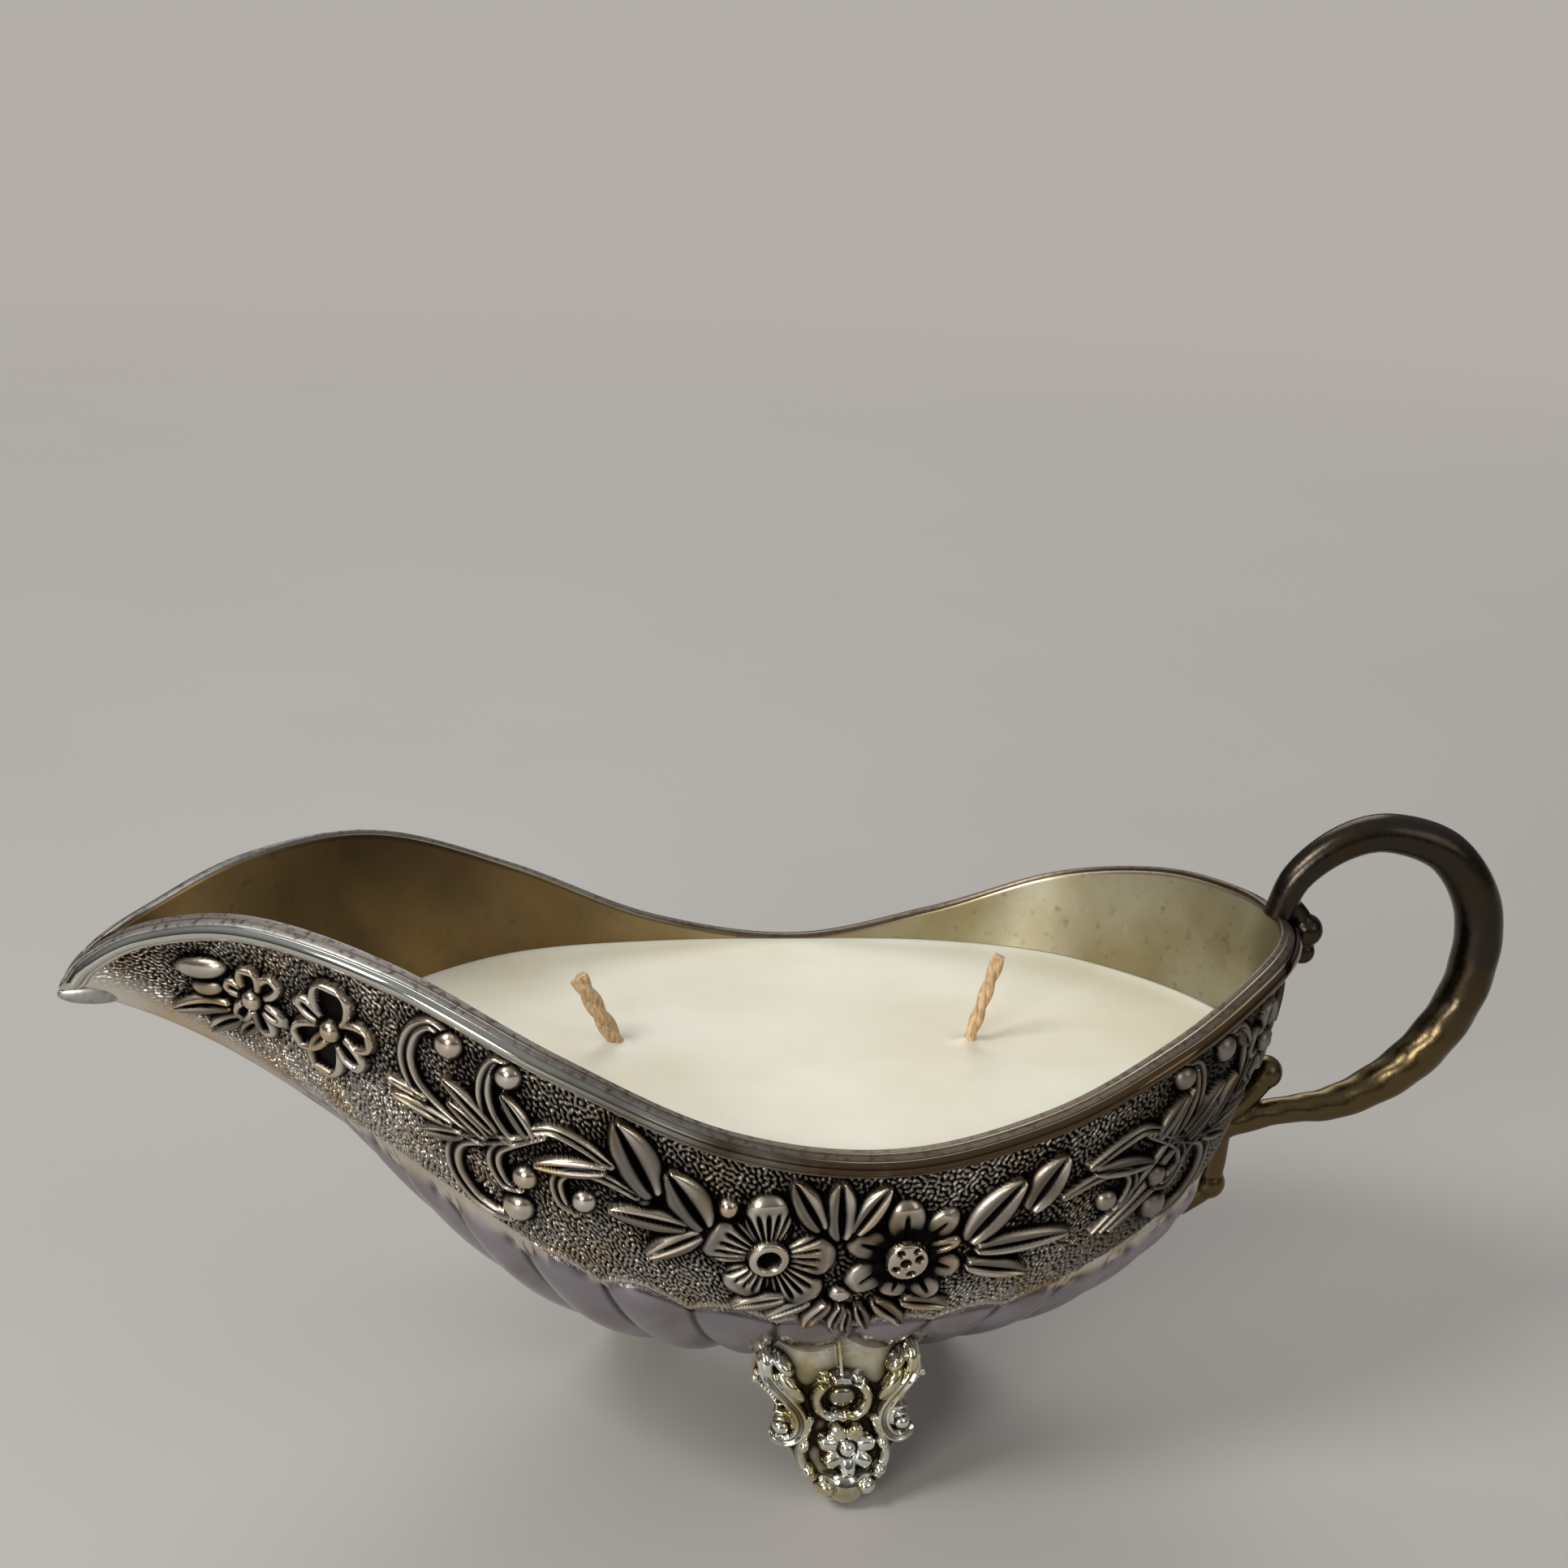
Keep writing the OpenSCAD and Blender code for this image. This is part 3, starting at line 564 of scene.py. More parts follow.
ornament = {
    "leafLift": 1.5, "stemLift": 1.3, "wormLift": 0.19, "wormWidth": 0.9,
    "mirrorAt": 269,  # the stern half repeats the spout half's scrolls at this sum of the two places
    "scrolls": [  # stem from its root to its curl, width, ball at the curl, ball radius
        ([(75, 20), (70.5, 20.2), (66, 19), (63, 16.5), (62.5, 12.5), (64.5, 8), (67.6, 5.2), (70.4, 5.2)], 3.3,
         (70.7, 6.9), 2.5),
        ([(85, 13.5), (80.5, 16.6), (77.5, 15), (76.3, 12), (76.8, 8.5), (78.4, 5.4), (80.4, 4.6)], 3,
         (80.6, 6.4), 2.3),
        ([(101, 15), (95, 14.7), (90, 16.5), (87.6, 19.5), (88.2, 22.6), (90.6, 23.2)], 2.7, (91.8, 20.9), 2.1),
        ([(86, 12.8), (80.5, 17), (77.4, 20), (76.5, 23), (78, 25.4), (80.6, 24.8)], 3, (81.7, 22.4), 2.2),
        ([(80, 16.8), (75, 19.6), (70.5, 22.5), (68, 26), (67.6, 29.8), (69.8, 32.8), (73.4, 33.4), (77, 32.2)],
         3.5, (79.2, 29), 2.7),
        ([(97, 12), (92, 11), (88, 11), (84.5, 12.6)], 2.6, None, 0),
    ],
    "scrollLeaves": [  # base, tip, width
        ((78.5, 17), (68.8, 12.6), 3.2), ((76.8, 18.8), (69.2, 16.2), 2.8), ((84.5, 14.6), (79.4, 9.2), 3),
        ((97, 12.8), (83.4, 18.6), 3.8), ((70.5, 20.2), (57.4, 20.8), 3), ((66, 18.4), (57, 18.2), 1.8),
        ((72, 20.8), (62, 25.2), 3.2),
    ],
    "leaves": [
        ((104.2, 14.2), (97.4, 4.4), 6.8), ((112.4, 16), (105.8, 8.6), 6.6), ((109.8, 16.4), (95.5, 19.8), 4.2),
        ((111.8, 16.4), (101.4, 25.4), 4.8), ((130, 12.4), (125, 4.4), 4.8), ((132.8, 14), (132.2, 3.6), 5.6),
        ((134.4, 12.8), (139.7, 4.4), 4.6), ((153.5, 18.4), (171.4, 22.4), 4.4), ((152.8, 20.8), (165.2, 27), 4.4),
        ((125, 25), (115, 29.6), 4), ((129, 25), (121, 30.6), 3.6), ((132, 25.6), (127.6, 31.6), 3.4),
        ((139, 25), (146, 31.6), 3.6), ((143.5, 25.6), (152.8, 29.2), 4),
        ((22, 16), (5.6, 15.4), 4.2), ((22, 18), (6.4, 21.8), 3.8), ((26, 18.4), (16, 22.4), 3.4),
        ((205, 14), (198, 20), 3.6), ((221, 13), (229, 8), 4), ((221, 16), (229.6, 19), 4), ((206, 10), (201, 5), 3),
        ((152.2, 17), (160.6, 8.4), 6.4), ((161.8, 15), (167.2, 7.2), 6.4), ((134.2, 26), (132.6, 32), 2.6),
        ((135.3, 27), (135.4, 33.4), 2.2), ((136.6, 26), (139.6, 32), 2.6),
    ],
    "buds": [  # base, tip, width of smooth swelling buds
        ((27.6, 8.6), (16.2, 8), 4.2), ((23, 12.4), (14.6, 12.6), 3.4), ((113.8, 12), (117.2, 10.8), 3.4),
        ((131.6, 23.6), (135.6, 24.2), 3.2), ((43.2, 11), (39.4, 13), 2.6), ((36, 17.4), (33, 17), 2.6),
        ((100.6, 15.6), (103.6, 15.2), 2.4),
    ],
    "fronds": [((176, 26), (186, 18), (191, 9.5)), ((178, 27), (188.5, 20), (195, 13)),
               ((180, 28), (191, 23), (199, 18))],
    "frondWidth": 1.3, "budLift": 0.48,  # share of its width that a bud stands up
    "ballSunk": 0.5, "heartRaised": 0.5,  # balls at the curls and in the cup flowers
    "flowers": [  # centre, petal tips with widths, lift, kind of petal, button radius, pits in it
        ((121.8, 18.2), [((121.4, 7.4), 7.2), ((132.6, 16.8), 7.8), ((129.4, 25.6), 7.4), ((116, 26.8), 7.6),
                         ((111.2, 16.6), 7.6)], 1.6, "ribbed", 3.2, [(0, 0, 1.6)]),
        ((143.4, 17.7), [((142.2, 7), 6.2), ((150.4, 10.4), 4.8), ((152, 15.6), 3), ((152.8, 21.6), 5),
                         ((149.4, 26.8), 4.8), ((141.6, 25), 5), ((134, 22.4), 6), ((133.6, 13.2), 5.6)],
         1.5, "spoon", 3.4, [(0.4, 0.2, 0.7), (-1.6, 0.8, 0.6), (1.7, -0.9, 0.55), (-0.6, -1.8, 0.6), (1.2, 1.8, 0.5),
                             (-1.1, 2.1, 0.4)]),
        ((47.2, 15), [((50.6, 6), 8), ((56.6, 13.6), 5.8), ((52.6, 20), 5), ((38.6, 25.2), 7), ((35.6, 19.4), 6),
                      ((41.6, 10.6), 4)], 1.7, "cup", 1.9, []),
        ((29.3, 13.9), [((32.8, 7.6), 5), ((38.2, 9.4), 4.4), ((34.8, 17.6), 3.6), ((26.4, 21.6), 4.4),
                        ((20.4, 18.4), 4), ((24.6, 10.8), 3.6)], 1.5, "cup", 1.8, []),
        ((213, 12.6), [((213, 5.6), 5.6), ((219.6, 10.4), 5.6), ((217.4, 18.4), 5.6), ((208.8, 18.4), 5.6),
                       ((206.4, 10.4), 5.6)], 1.5, "cup", 1.9, []),
    ],
}


def bandGrid():
    # the near side's skin as rows down the wall and columns along the rim
    total = rimArc[-1]
    columns = angleAt(np.linspace(0, total, int(total / bowl["step"]) + 1))
    columns[0], columns[-1] = 0, 180
    fine = np.arange(0, bowl["bandDepth"], bowl["step"])
    level = np.zeros((len(fine) + bowl["restRows"], len(columns)))
    depth = np.zeros_like(level)
    for j, t in enumerate(columns):
        table = depthTable(t)
        rest = bowl["bandDepth"] + (table[-1] * 0.985 - bowl["bandDepth"]) * np.linspace(0, 1, bowl["restRows"])
        depth[:, j] = np.concatenate([fine, rest])
        level[:, j] = np.interp(depth[:, j], table, levels)
    return np.broadcast_to(columns, level.shape), level, depth, len(fine)


angle, level, depth, bandRows = bandGrid()
skin = bowlPoint(angle, level)
skinNormal = bowlNormal(angle, level)


def wallSpot(place):
    t = float(angleAt(place[0]))
    v = float(np.interp(place[1], depthTable(t), levels))
    return bowlPoint(t, v), bowlNormal(np.array([t]), np.array([v]))[0]


def mirrored(place):
    return (ornament["mirrorAt"] - place[0], place[1])


def carveBand():
    field = newField(skin[:bandRows].reshape(-1, 3), wallSpot)
    o = ornament
    for leaf in o["leaves"] + o["scrollLeaves"] + [(mirrored(a), mirrored(b), w) for a, b, w in o["scrollLeaves"]]:
        raiseLeaf(field, *leaf, o["leafLift"])
    for route in o["fronds"]:
        raiseStem(field, route, o["frondWidth"], o["stemLift"], 1)
    for route, width, ball, radius in o["scrolls"]:
        for turned in (list, lambda r: [mirrored(p) for p in r]):
            raiseStem(field, turned(route), width, o["stemLift"])
            if ball:
                raiseBall(field, turned([ball])[0], radius, o["ballSunk"])
    for base, tip, width in o["buds"]:
        raiseDome(field, base, tip, width, o["budLift"] * width)
    for centre, petals, lift, kind, radius, pits in o["flowers"]:
        for i, (tip, width) in enumerate(petals):
            raisePetal(field, centre, tip, width, lift * (1 - 0.12 * (i % 2)), kind)
        if kind == "cup":
            raiseBall(field, centre, radius, -o["heartRaised"])
        else:
            raiseButton(field, centre, radius, pits)
    shape = (bandRows, level.shape[1])
    return field["height"].reshape(shape), field["stainAndShade"].reshape(shape)


def wormPattern(shape):
    # matting of the ground: a random field of one width, squeezed into winding ridges
    rng = np.random.default_rng(11)
    wave = np.hypot(*np.meshgrid(np.fft.fftfreq(shape[0], bowl["step"]), np.fft.fftfreq(shape[1], bowl["step"]),
                                 indexing="ij"))
    ring = bell((wave - 1 / ornament["wormWidth"]) / 0.32)
    field = np.fft.ifft2(np.fft.fft2(rng.standard_normal(shape)) * ring).real
    return np.tanh(1.7 * field / field.std())


antiquingAndShade = {  # share of black oxide and of painted shade
    "ground": 0.94, "groundLow": 0.26, "worms": 0.6,  # on the matted ground, less of it low down and on the ridges
    "relief": 1.12, "rubbed": 0.9, "beside": 0.7,  # on the relief, darker still over its faces as painted dark reflection, rubbed off where that stands proud
    "sternShade": 0.6,  # painted shade: share of the rubbed silver darkened towards the stern
    "lobeCrease": 0.7, "edgeCrease": 0.6,  # painted shade between the flutes and along their edge
}


def finishBand():
    # lift of the whole skin with its antiquing and painted shade, and its share of clean flute
    a = antiquingAndShade
    deep, t = depth[:bandRows], angle[:bandRows]
    height, stainAndShade = carveBand()
    clear = smooth((deep - 3.3) / 0.5)
    height, stainAndShade = height * clear, stainAndShade * clear
    slope = np.minimum(np.gradient(level, axis=0) / np.maximum(np.gradient(depth, axis=0), 1e-6), -1e-3)
    below = (level - fluteEdge(angle)) / slope  # mm below the flutes' edge
    keel = smooth((-skinNormal[..., 2] - 0.54) / 0.2) * (1 - smooth((angle - 40) / 20))
    fade = smooth((angle - 22) / 43)
    onFlute = np.maximum(smooth(below / 0.5 + 0.5), keel)
    lip = bell((below + 0.75) / 0.55) * (1 - keel)
    worms = wormPattern(height.shape)
    bare = (1 - onFlute[:bandRows]) * clear
    ground = (1 - smooth(height / 0.2)) * bare * (1 - 0.8 * lip[:bandRows]) * smooth((t - 6) / 14)
    # darker close to the relief: oxide gathered there and painted shade
    crowd = np.clip(blur(height, 9) * 0.9, 0, 0.45)
    tone = a["ground"] - a["groundLow"] * smooth((deep - 16) / 14) + crowd
    cavity = 2.4 * (blur(height, 3) - height) + 1.0 * (blur(height, 8) - height)
    relief = smooth(height / 0.25)
    # oxide on the relief, with painted dark reflection over its faces, rubbed bright where it stands proud
    patinaAndShade = (a["relief"] + a["rubbed"] * cavity) * relief + a["beside"] * cavity * (1 - relief)
    patinaAndShade = np.maximum(np.clip(patinaAndShade, 0, 1), stainAndShade)
    patinaAndShade = np.maximum(patinaAndShade, ground * np.clip(tone - a["worms"] * worms, 0.03, 1))
    # painted shade: the band darkens towards the stern
    patinaAndShade = (1 - (1 - patinaAndShade) * (1 - a["sternShade"] * smooth((t - 112) / 26))) * bare
    lift, oxideAndShade = np.zeros(level.shape), np.zeros(level.shape)
    lift[:bandRows] = height + ornament["wormLift"] * ground * worms
    oxideAndShade[:bandRows] = patinaAndShade
    lobe = lobeAt(angle)
    rounding = np.clip(below / 5.5, 0, 1)
    lift += bowl["lipRise"] * lip
    lift += bowl["lobeRise"] * lobe * np.sqrt(1 - (1 - rounding) ** 2) * smooth(level / 0.3) * fade
    # painted shade in the creases between the flutes and along their edge
    crease = a["lobeCrease"] * smooth((0.3 - lobe) / 0.3) * fade + a["edgeCrease"] * bell((below - 0.2) / 0.4)
    crease = crease * (1 - keel)
    oxideAndShade = np.clip(np.maximum(oxideAndShade, crease * smooth(below / 0.4 + 1) * smooth(level / 0.3)), 0, 1)
    return lift, oxideAndShade, onFlute


lift, oxideAndShade, onFlute = finishBand()
rows, cols = level.shape
hullPoints = skin + lift[..., None] * skinNormal
hullPoints[:, (0, -1), 1] = 0
print("band carved:", rows, "rows of", cols)


def skinPieces():
    normals = np.cross(np.gradient(hullPoints, axis=0), np.gradient(hullPoints, axis=1))
    normals[:, (0, -1), 1] = 0
    normals[-1] = (0, 0, -1)
    normals = unit(normals)
    belly = np.array([[bowl["bellyX"], 0, bowl["bellyHeight"]]])
    cut = [0, cols // 3, 2 * cols // 3, cols - 1]
    for sideName, mirror in (("Near", 1), ("Far", -1)):
        for part, (a, b) in zip(("Spout", "Middle", "Stern"), zip(cut[:-1], cut[1:])):
            p = hullPoints[:, a:b + 1].reshape(-1, 3) * (1, mirror, 1)
            n = normals[:, a:b + 1].reshape(-1, 3) * (1, mirror, 1)
            width = b - a + 1
            faces = gridFaces(rows, width, flip=mirror < 0).tolist()
            first, middle = (rows - 1) * width, rows * width
            fan = [[first + i, middle, first + i + 1] for i in range(width - 1)]
            faces += [f[::-1] for f in fan] if mirror < 0 else fan
            values = {"patinaAndShade": np.append(oxideAndShade[:, a:b + 1].ravel(), 0),
                      "flute": np.append(onFlute[:, a:b + 1].ravel(), 1)}
            piece = meshPiece("hull" + sideName + part, np.vstack([p, belly]), faces, bandFinish,
                              np.vstack([n, [[0, 0, -1]]]), values)
            settle(piece, "antique_silver", "hull")


skinPieces()
print("hull skin made")


def allRound(count):
    # angle on the half rim and side (-1 near, 1 far) for points all the way round
    turn = (np.arange(count) + 0.5) * 360 / count
    return np.where(turn > 180, 360 - turn, turn), np.where(turn > 180, 1, -1)


def innerPoint(t, side, v, deep):
    p = bowlPoint(t, v)
    n = bowlNormal(t, v)
    share = 1 - np.minimum(0.6, deep * np.abs(n[..., 1]) / np.maximum(0.01, np.abs(p[..., 1])))
    return np.stack([p[..., 0] - deep * n[..., 0], -side * p[..., 1] * share, p[..., 2] - deep * n[..., 2]], -1)


def insidePiece():
    count = 720
    t, side = allRound(count)
    drop = np.concatenate([np.linspace(1, 0.4, 60), np.linspace(0.38, 0.03, 16)])
    rings = [innerPoint(t, side, np.full(count, v), bowl["wall"]) for v in drop]
    top = innerPoint(t, side, np.ones(count), 0.3)
    points = np.vstack([top[None], np.array(rings)])
    faces = gridFaces(len(points), count, wrap=True, flip=True).tolist()
    last, pole = (len(points) - 1) * count, len(points) * count
    faces += [[last + i, last + (i + 1) % count, pole] for i in range(count)]
    belly = [[bowl["bellyX"], 0, bowl["bellyHeight"] + bowl["wall"]]]
    piece = meshPiece("hullInside", np.vstack([points.reshape(-1, 3), belly]), faces, insideFinish)
    settle(piece, "antique_silver", "hull")


insidePiece()


# Moulded wire round the rim: [out from the wall, down it, share of matt flat]

rim = {
    "section": [(-1.52, 0.6, 0.3), (-1.54, 0.02, 0.6), (-1.42, -0.18, 1), (-1.1, -0.2, 1), (0.5, 0.3, 1),
                (0.72, 0.48, 0.8), (0.82, 0.62, 0.3), (0.95, 0.5, 0), (1.35, 0.42, 0), (1.85, 0.68, 0),
                (2.2, 1.12, 0), (2.3, 1.62, 0), (2.12, 2.12, 0), (1.65, 2.48, 0), (1.15, 2.6, 0.2), (1.0, 2.68, 0.5),
                (1.06, 2.84, 0.3), (1.12, 3.02, 0.3), (1.0, 3.22, 0.3), (0.7, 3.38, 0.4), (0.02, 3.42, 0.4)],
    "count": 1440,
    "knob": (-108, 0, 74.6), "knobReach": (5.3, 1.05, 1.65), "knobMatt": 0.6,  # where its ends meet at the spout
}


def rimPiece():
    t, side = allRound(rim["count"])
    one = np.ones(rim["count"])
    p = bowlPoint(t, one)
    n = bowlNormal(t, one * 0.99)
    up = unit(bowlPoint(t, one) - bowlPoint(t, one * 0.98))
    along = unit(bowlPoint(np.minimum(t + 0.3, 180), one) - bowlPoint(np.maximum(t - 0.3, 0), one))
    upright = unit(np.array([0, 0, 1.0]) - along[:, 2:] * along)
    nose = 1 - smooth((t - 2) / 10)[:, None]  # round the tip the wire stands level
    up, n = unit(up + nose * (upright - up)), unit(n + nose * (np.cross(along, upright) - n))
    pinch = 0.05 + 0.95 * smooth((t - 1) / 8)  # runs out there
    lip = 1 - smooth((t - 10) / 14)  # and closes over the hollow
    rows = []
    for out, down, _ in rim["section"]:
        out, down = out * pinch, (down * pinch)[:, None]
        if out[0] < 0:
            out = out * (1 + 2 * lip)
            share = 1 - np.minimum(0.6 + 0.38 * lip, -out * np.abs(n[:, 1]) / np.maximum(0.01, np.abs(p[:, 1])))
            q = np.stack([p[:, 0] + out * n[:, 0], p[:, 1] * share, p[:, 2] + out * n[:, 2]], -1) - down * up
        else:
            q = p + out[:, None] * n - down * up
        rows.append(q * np.stack([one, -side, one], -1))
    wire = np.array(rows).reshape(-1, 3), gridFaces(len(rows), rim["count"], wrap=True).tolist()
    tip = ovalBall(rim["knob"], rim["knobReach"])
    matt = np.append(np.repeat([s[2] for s in rim["section"]], rim["count"]), np.full(len(tip[0]), rim["knobMatt"]))
    piece = meshPiece("rimMoulding", *joinParts([wire, tip]), rimFinish, attributes={"flat": matt})
    settle(piece, "antique_silver", "rim_moulding")


rimPiece()
print("inside and rim made")


# Cast pieces: the handle is put together from rods and run into one solid, a foot is carved like the band

def tubeFrame(path, sides):
    # direction along a path in the XZ plane, and a ring of spokes round each of its points
    along = unit(np.gradient(path, axis=0))
    side = np.array([0.0, 1.0, 0.0])
    up = np.cross(side, along)
    turn = np.arange(sides) * 2 * np.pi / sides
    return along, turn, np.cos(turn)[None, :, None] * up[:, None] + np.sin(turn)[None, :, None] * side


def rod(route, radii, count=40, sides=18):
    # tube through a list of points with rounded ends
    path = throughPoints(route, count)
    radius = throughPoints(np.asarray(radii, float)[:, None], count)[:, 0]
    along, _, ring = tubeFrame(path, sides)
    caps = [(0, -0.75, 0.66), (0, -0.4, 0.92)], [(-1, 0.4, 0.92), (-1, 0.75, 0.66)]
    ends = [[path[i] + along[i] * radius[i] * push + ring[i] * radius[i] * size for i, push, size in c] for c in caps]
    rings = np.array(ends[0] + list(path[:, None] + ring * radius[:, None, None]) + ends[1])
    return closeLoft(rings, path[0] - along[0] * radius[0], path[-1] + along[-1] * radius[-1])


def plainMesh(holder):
    # final mesh of an object with live modifiers, in place of that object
    graph = bpy.context.evaluated_depsgraph_get()
    mesh = bpy.data.meshes.new_from_object(holder.evaluated_get(graph))
    holder.modifiers.clear()
    bpy.data.objects.remove(holder)
    return mesh


def castSolid(name, parts, voxel, material, evenPasses):
    # runs overlapping closed parts into one skin and evens it, at a metre to the millimetre
    points, faces = joinParts(parts)
    draft = meshPiece(name + "Draft", points / mm, faces, material)
    modifier = draft.modifiers.new("cast", "REMESH")
    modifier.mode = "VOXEL"
    modifier.voxel_size = voxel
    evened = draft.modifiers.new("evened", "SMOOTH")
    evened.factor = 0.5
    evened.iterations = evenPasses
    mesh = plainMesh(draft)
    co, normal = np.zeros((2, len(mesh.vertices) * 3))
    mesh.vertices.foreach_get("co", co)
    mesh.vertices.foreach_get("normal", normal)
    edges = np.zeros(len(mesh.edges) * 2, int)
    mesh.edges.foreach_get("vertices", edges)
    quads = [list(p.vertices) for p in mesh.polygons]
    return co.reshape(-1, 3), quads, edges.reshape(-1, 2), normal.reshape(-1, 3)


def hollowness(points, edges, normal, passes):
    # mm that each point lies below the smoothed skin
    count = len(points)
    degree = np.bincount(edges.ravel(), minlength=count)
    soft = points.copy()
    for _ in range(passes):
        total = np.stack([np.bincount(edges[:, 0], soft[edges[:, 1], k], count) +
                          np.bincount(edges[:, 1], soft[edges[:, 0], k], count) for k in range(3)], -1)
        soft = 0.4 * soft + 0.6 * total / degree[:, None]
    return ((soft - points) * normal).sum(1)


handleForm = {
    "route": [(75, 83.8), (78, 91), (85, 96.5), (93, 98), (103, 94.2), (109.2, 84), (108.2, 70.5), (101, 59),
              (90, 52), (79, 50.2), (67, 48)],
    "taper": [0.58, 0.65, 0.74, 0.81, 0.91, 1, 1, 0.96, 0.76, 0.58, 0.8],
    "radius": 3.9, "strands": 3, "turns": 4, "groove": 0.022,
    "rings": 420, "sides": 60, "voxel": 0.3, "evenPasses": 2, "tarnishAndShade": (0.1, 2.6), "soften": 40,
    "bud": ([(76.5, 0, 86.8), (78.6, 0, 84.8), (79.8, 0, 82.6), (80, 0, 80), (80, 0, 78.6)],
            [1.6, 1.6, 1.8, 1.8, 1.4]),
    "ball": ([(69, 0, 50), (73, 0, 53), (75, 0, 55.2), (76, 0, 56.6)], [2.8, 2.3, 2.2, 2.2]),
    "drop": ([(68.5, 0, 49), (68.8, 0, 44.2), (68.6, 0, 40.6), (67.9, 0, 37.2), (64.4, 0, 33.4)],
             [2.8, 2.4, 2.3, 2.2, 1.3]),
    "balls": [(80.3, 81.8, 2.7), (80, 78.2, 2.1), (76.2, 57.2, 2.8), (68.5, 37.8, 2.8)],
}


def handlePiece():
    h = handleForm
    last = len(h["route"]) - 1
    u = np.linspace(0, last, h["rings"])
    path = throughPoints([(x, 0, z) for x, z in h["route"]], h["rings"])
    radius = h["radius"] * throughPoints([[r] for r in h["taper"]], h["rings"])
    _, turn, spokes = tubeFrame(path, h["sides"])
    deep = h["groove"] * smooth((u - 4.4) / 2)[:, None]  # smooth above, twisted from the middle of the loop down
    twist = 2 * np.pi * h["turns"] * (u - 4) / (last - 4)
    wave = np.cos(h["strands"] * (turn[None] - twist[:, None]))
    reach = radius * (1 - deep + deep * wave)
    parts = [closeLoft(path[:, None] + reach[..., None] * spokes, path[0], path[-1])]
    parts += [rod(*h[k]) for k in ("bud", "ball", "drop")]
    parts += [ovalBall((x, 0, z), (r, r, r)) for x, z, r in h["balls"]]
    co, quads, edges, normal = castSolid("handle", parts, h["voxel"], handleFinish, h["evenPasses"])
    least, rate = h["tarnishAndShade"]
    worn = np.clip(least + rate * hollowness(co, edges, normal, h["soften"]), 0, 1)
    piece = meshPiece("handleCast", co, quads, handleFinish, attributes={"patinaAndShade": worn})
    settle(piece, "antique_silver", "handle")


handlePiece()
print("handle made")


# Node trees, run on the points of a carrier mesh

def startTree(name, sockets):
    tree = bpy.data.node_groups.new(name, "GeometryNodeTree")
    for label, kind in sockets.items():
        tree.interface.new_socket(label, in_out="INPUT", socket_type="NodeSocket" + kind)
    tree.interface.new_socket("Geometry", in_out="OUTPUT", socket_type="NodeSocketGeometry")
    add = partial(addNode, tree)
    return tree, add, add("NodeGroupInput").node.outputs


def endTree(tree, instances, finish):
    real = addNode(tree, "GeometryNodeRealizeInstances", [instances])
    done = addNode(tree, "GeometryNodeSetMaterial", {"Geometry": real, "Material": finish})
    addNode(tree, "NodeGroupOutput", [done])
    return tree


def beadTree():
    tree, add, given = startTree("rowOfBeads", {"Geometry": "Geometry", "Radius": "Float", "Finish": "Material"})
    ball = add("GeometryNodeMeshUVSphere", {"Segments": 16, "Rings": 10, "Radius": given["Radius"]})
    beads = add("GeometryNodeInstanceOnPoints", {"Points": given["Geometry"], "Instance": ball})
    return endTree(tree, beads, given["Finish"])


def nodeMesh(name, tree, inputs, points=()):
    # runs a node tree on a set of points and returns its points and faces in mm
    carrier = bpy.data.meshes.new(name)
    carrier.from_pydata([tuple(map(float, p)) for p in points], [], [])
    holder = bpy.data.objects.new(name, carrier)
    bpy.context.scene.collection.objects.link(holder)
    modifier = holder.modifiers.new("nodes", "NODES")
    modifier.node_group = tree
    sockets = {s.name: s.identifier for s in tree.interface.items_tree if s.in_out == "INPUT"}
    for label, value in inputs.items():
        modifier[sockets[label]] = value
    mesh = plainMesh(holder)
    return np.array([v.co for v in mesh.vertices]), [list(p.vertices) for p in mesh.polygons]


# A foot, as mm to the right of its middle and mm above the table; routes are for the right side and are mirrored

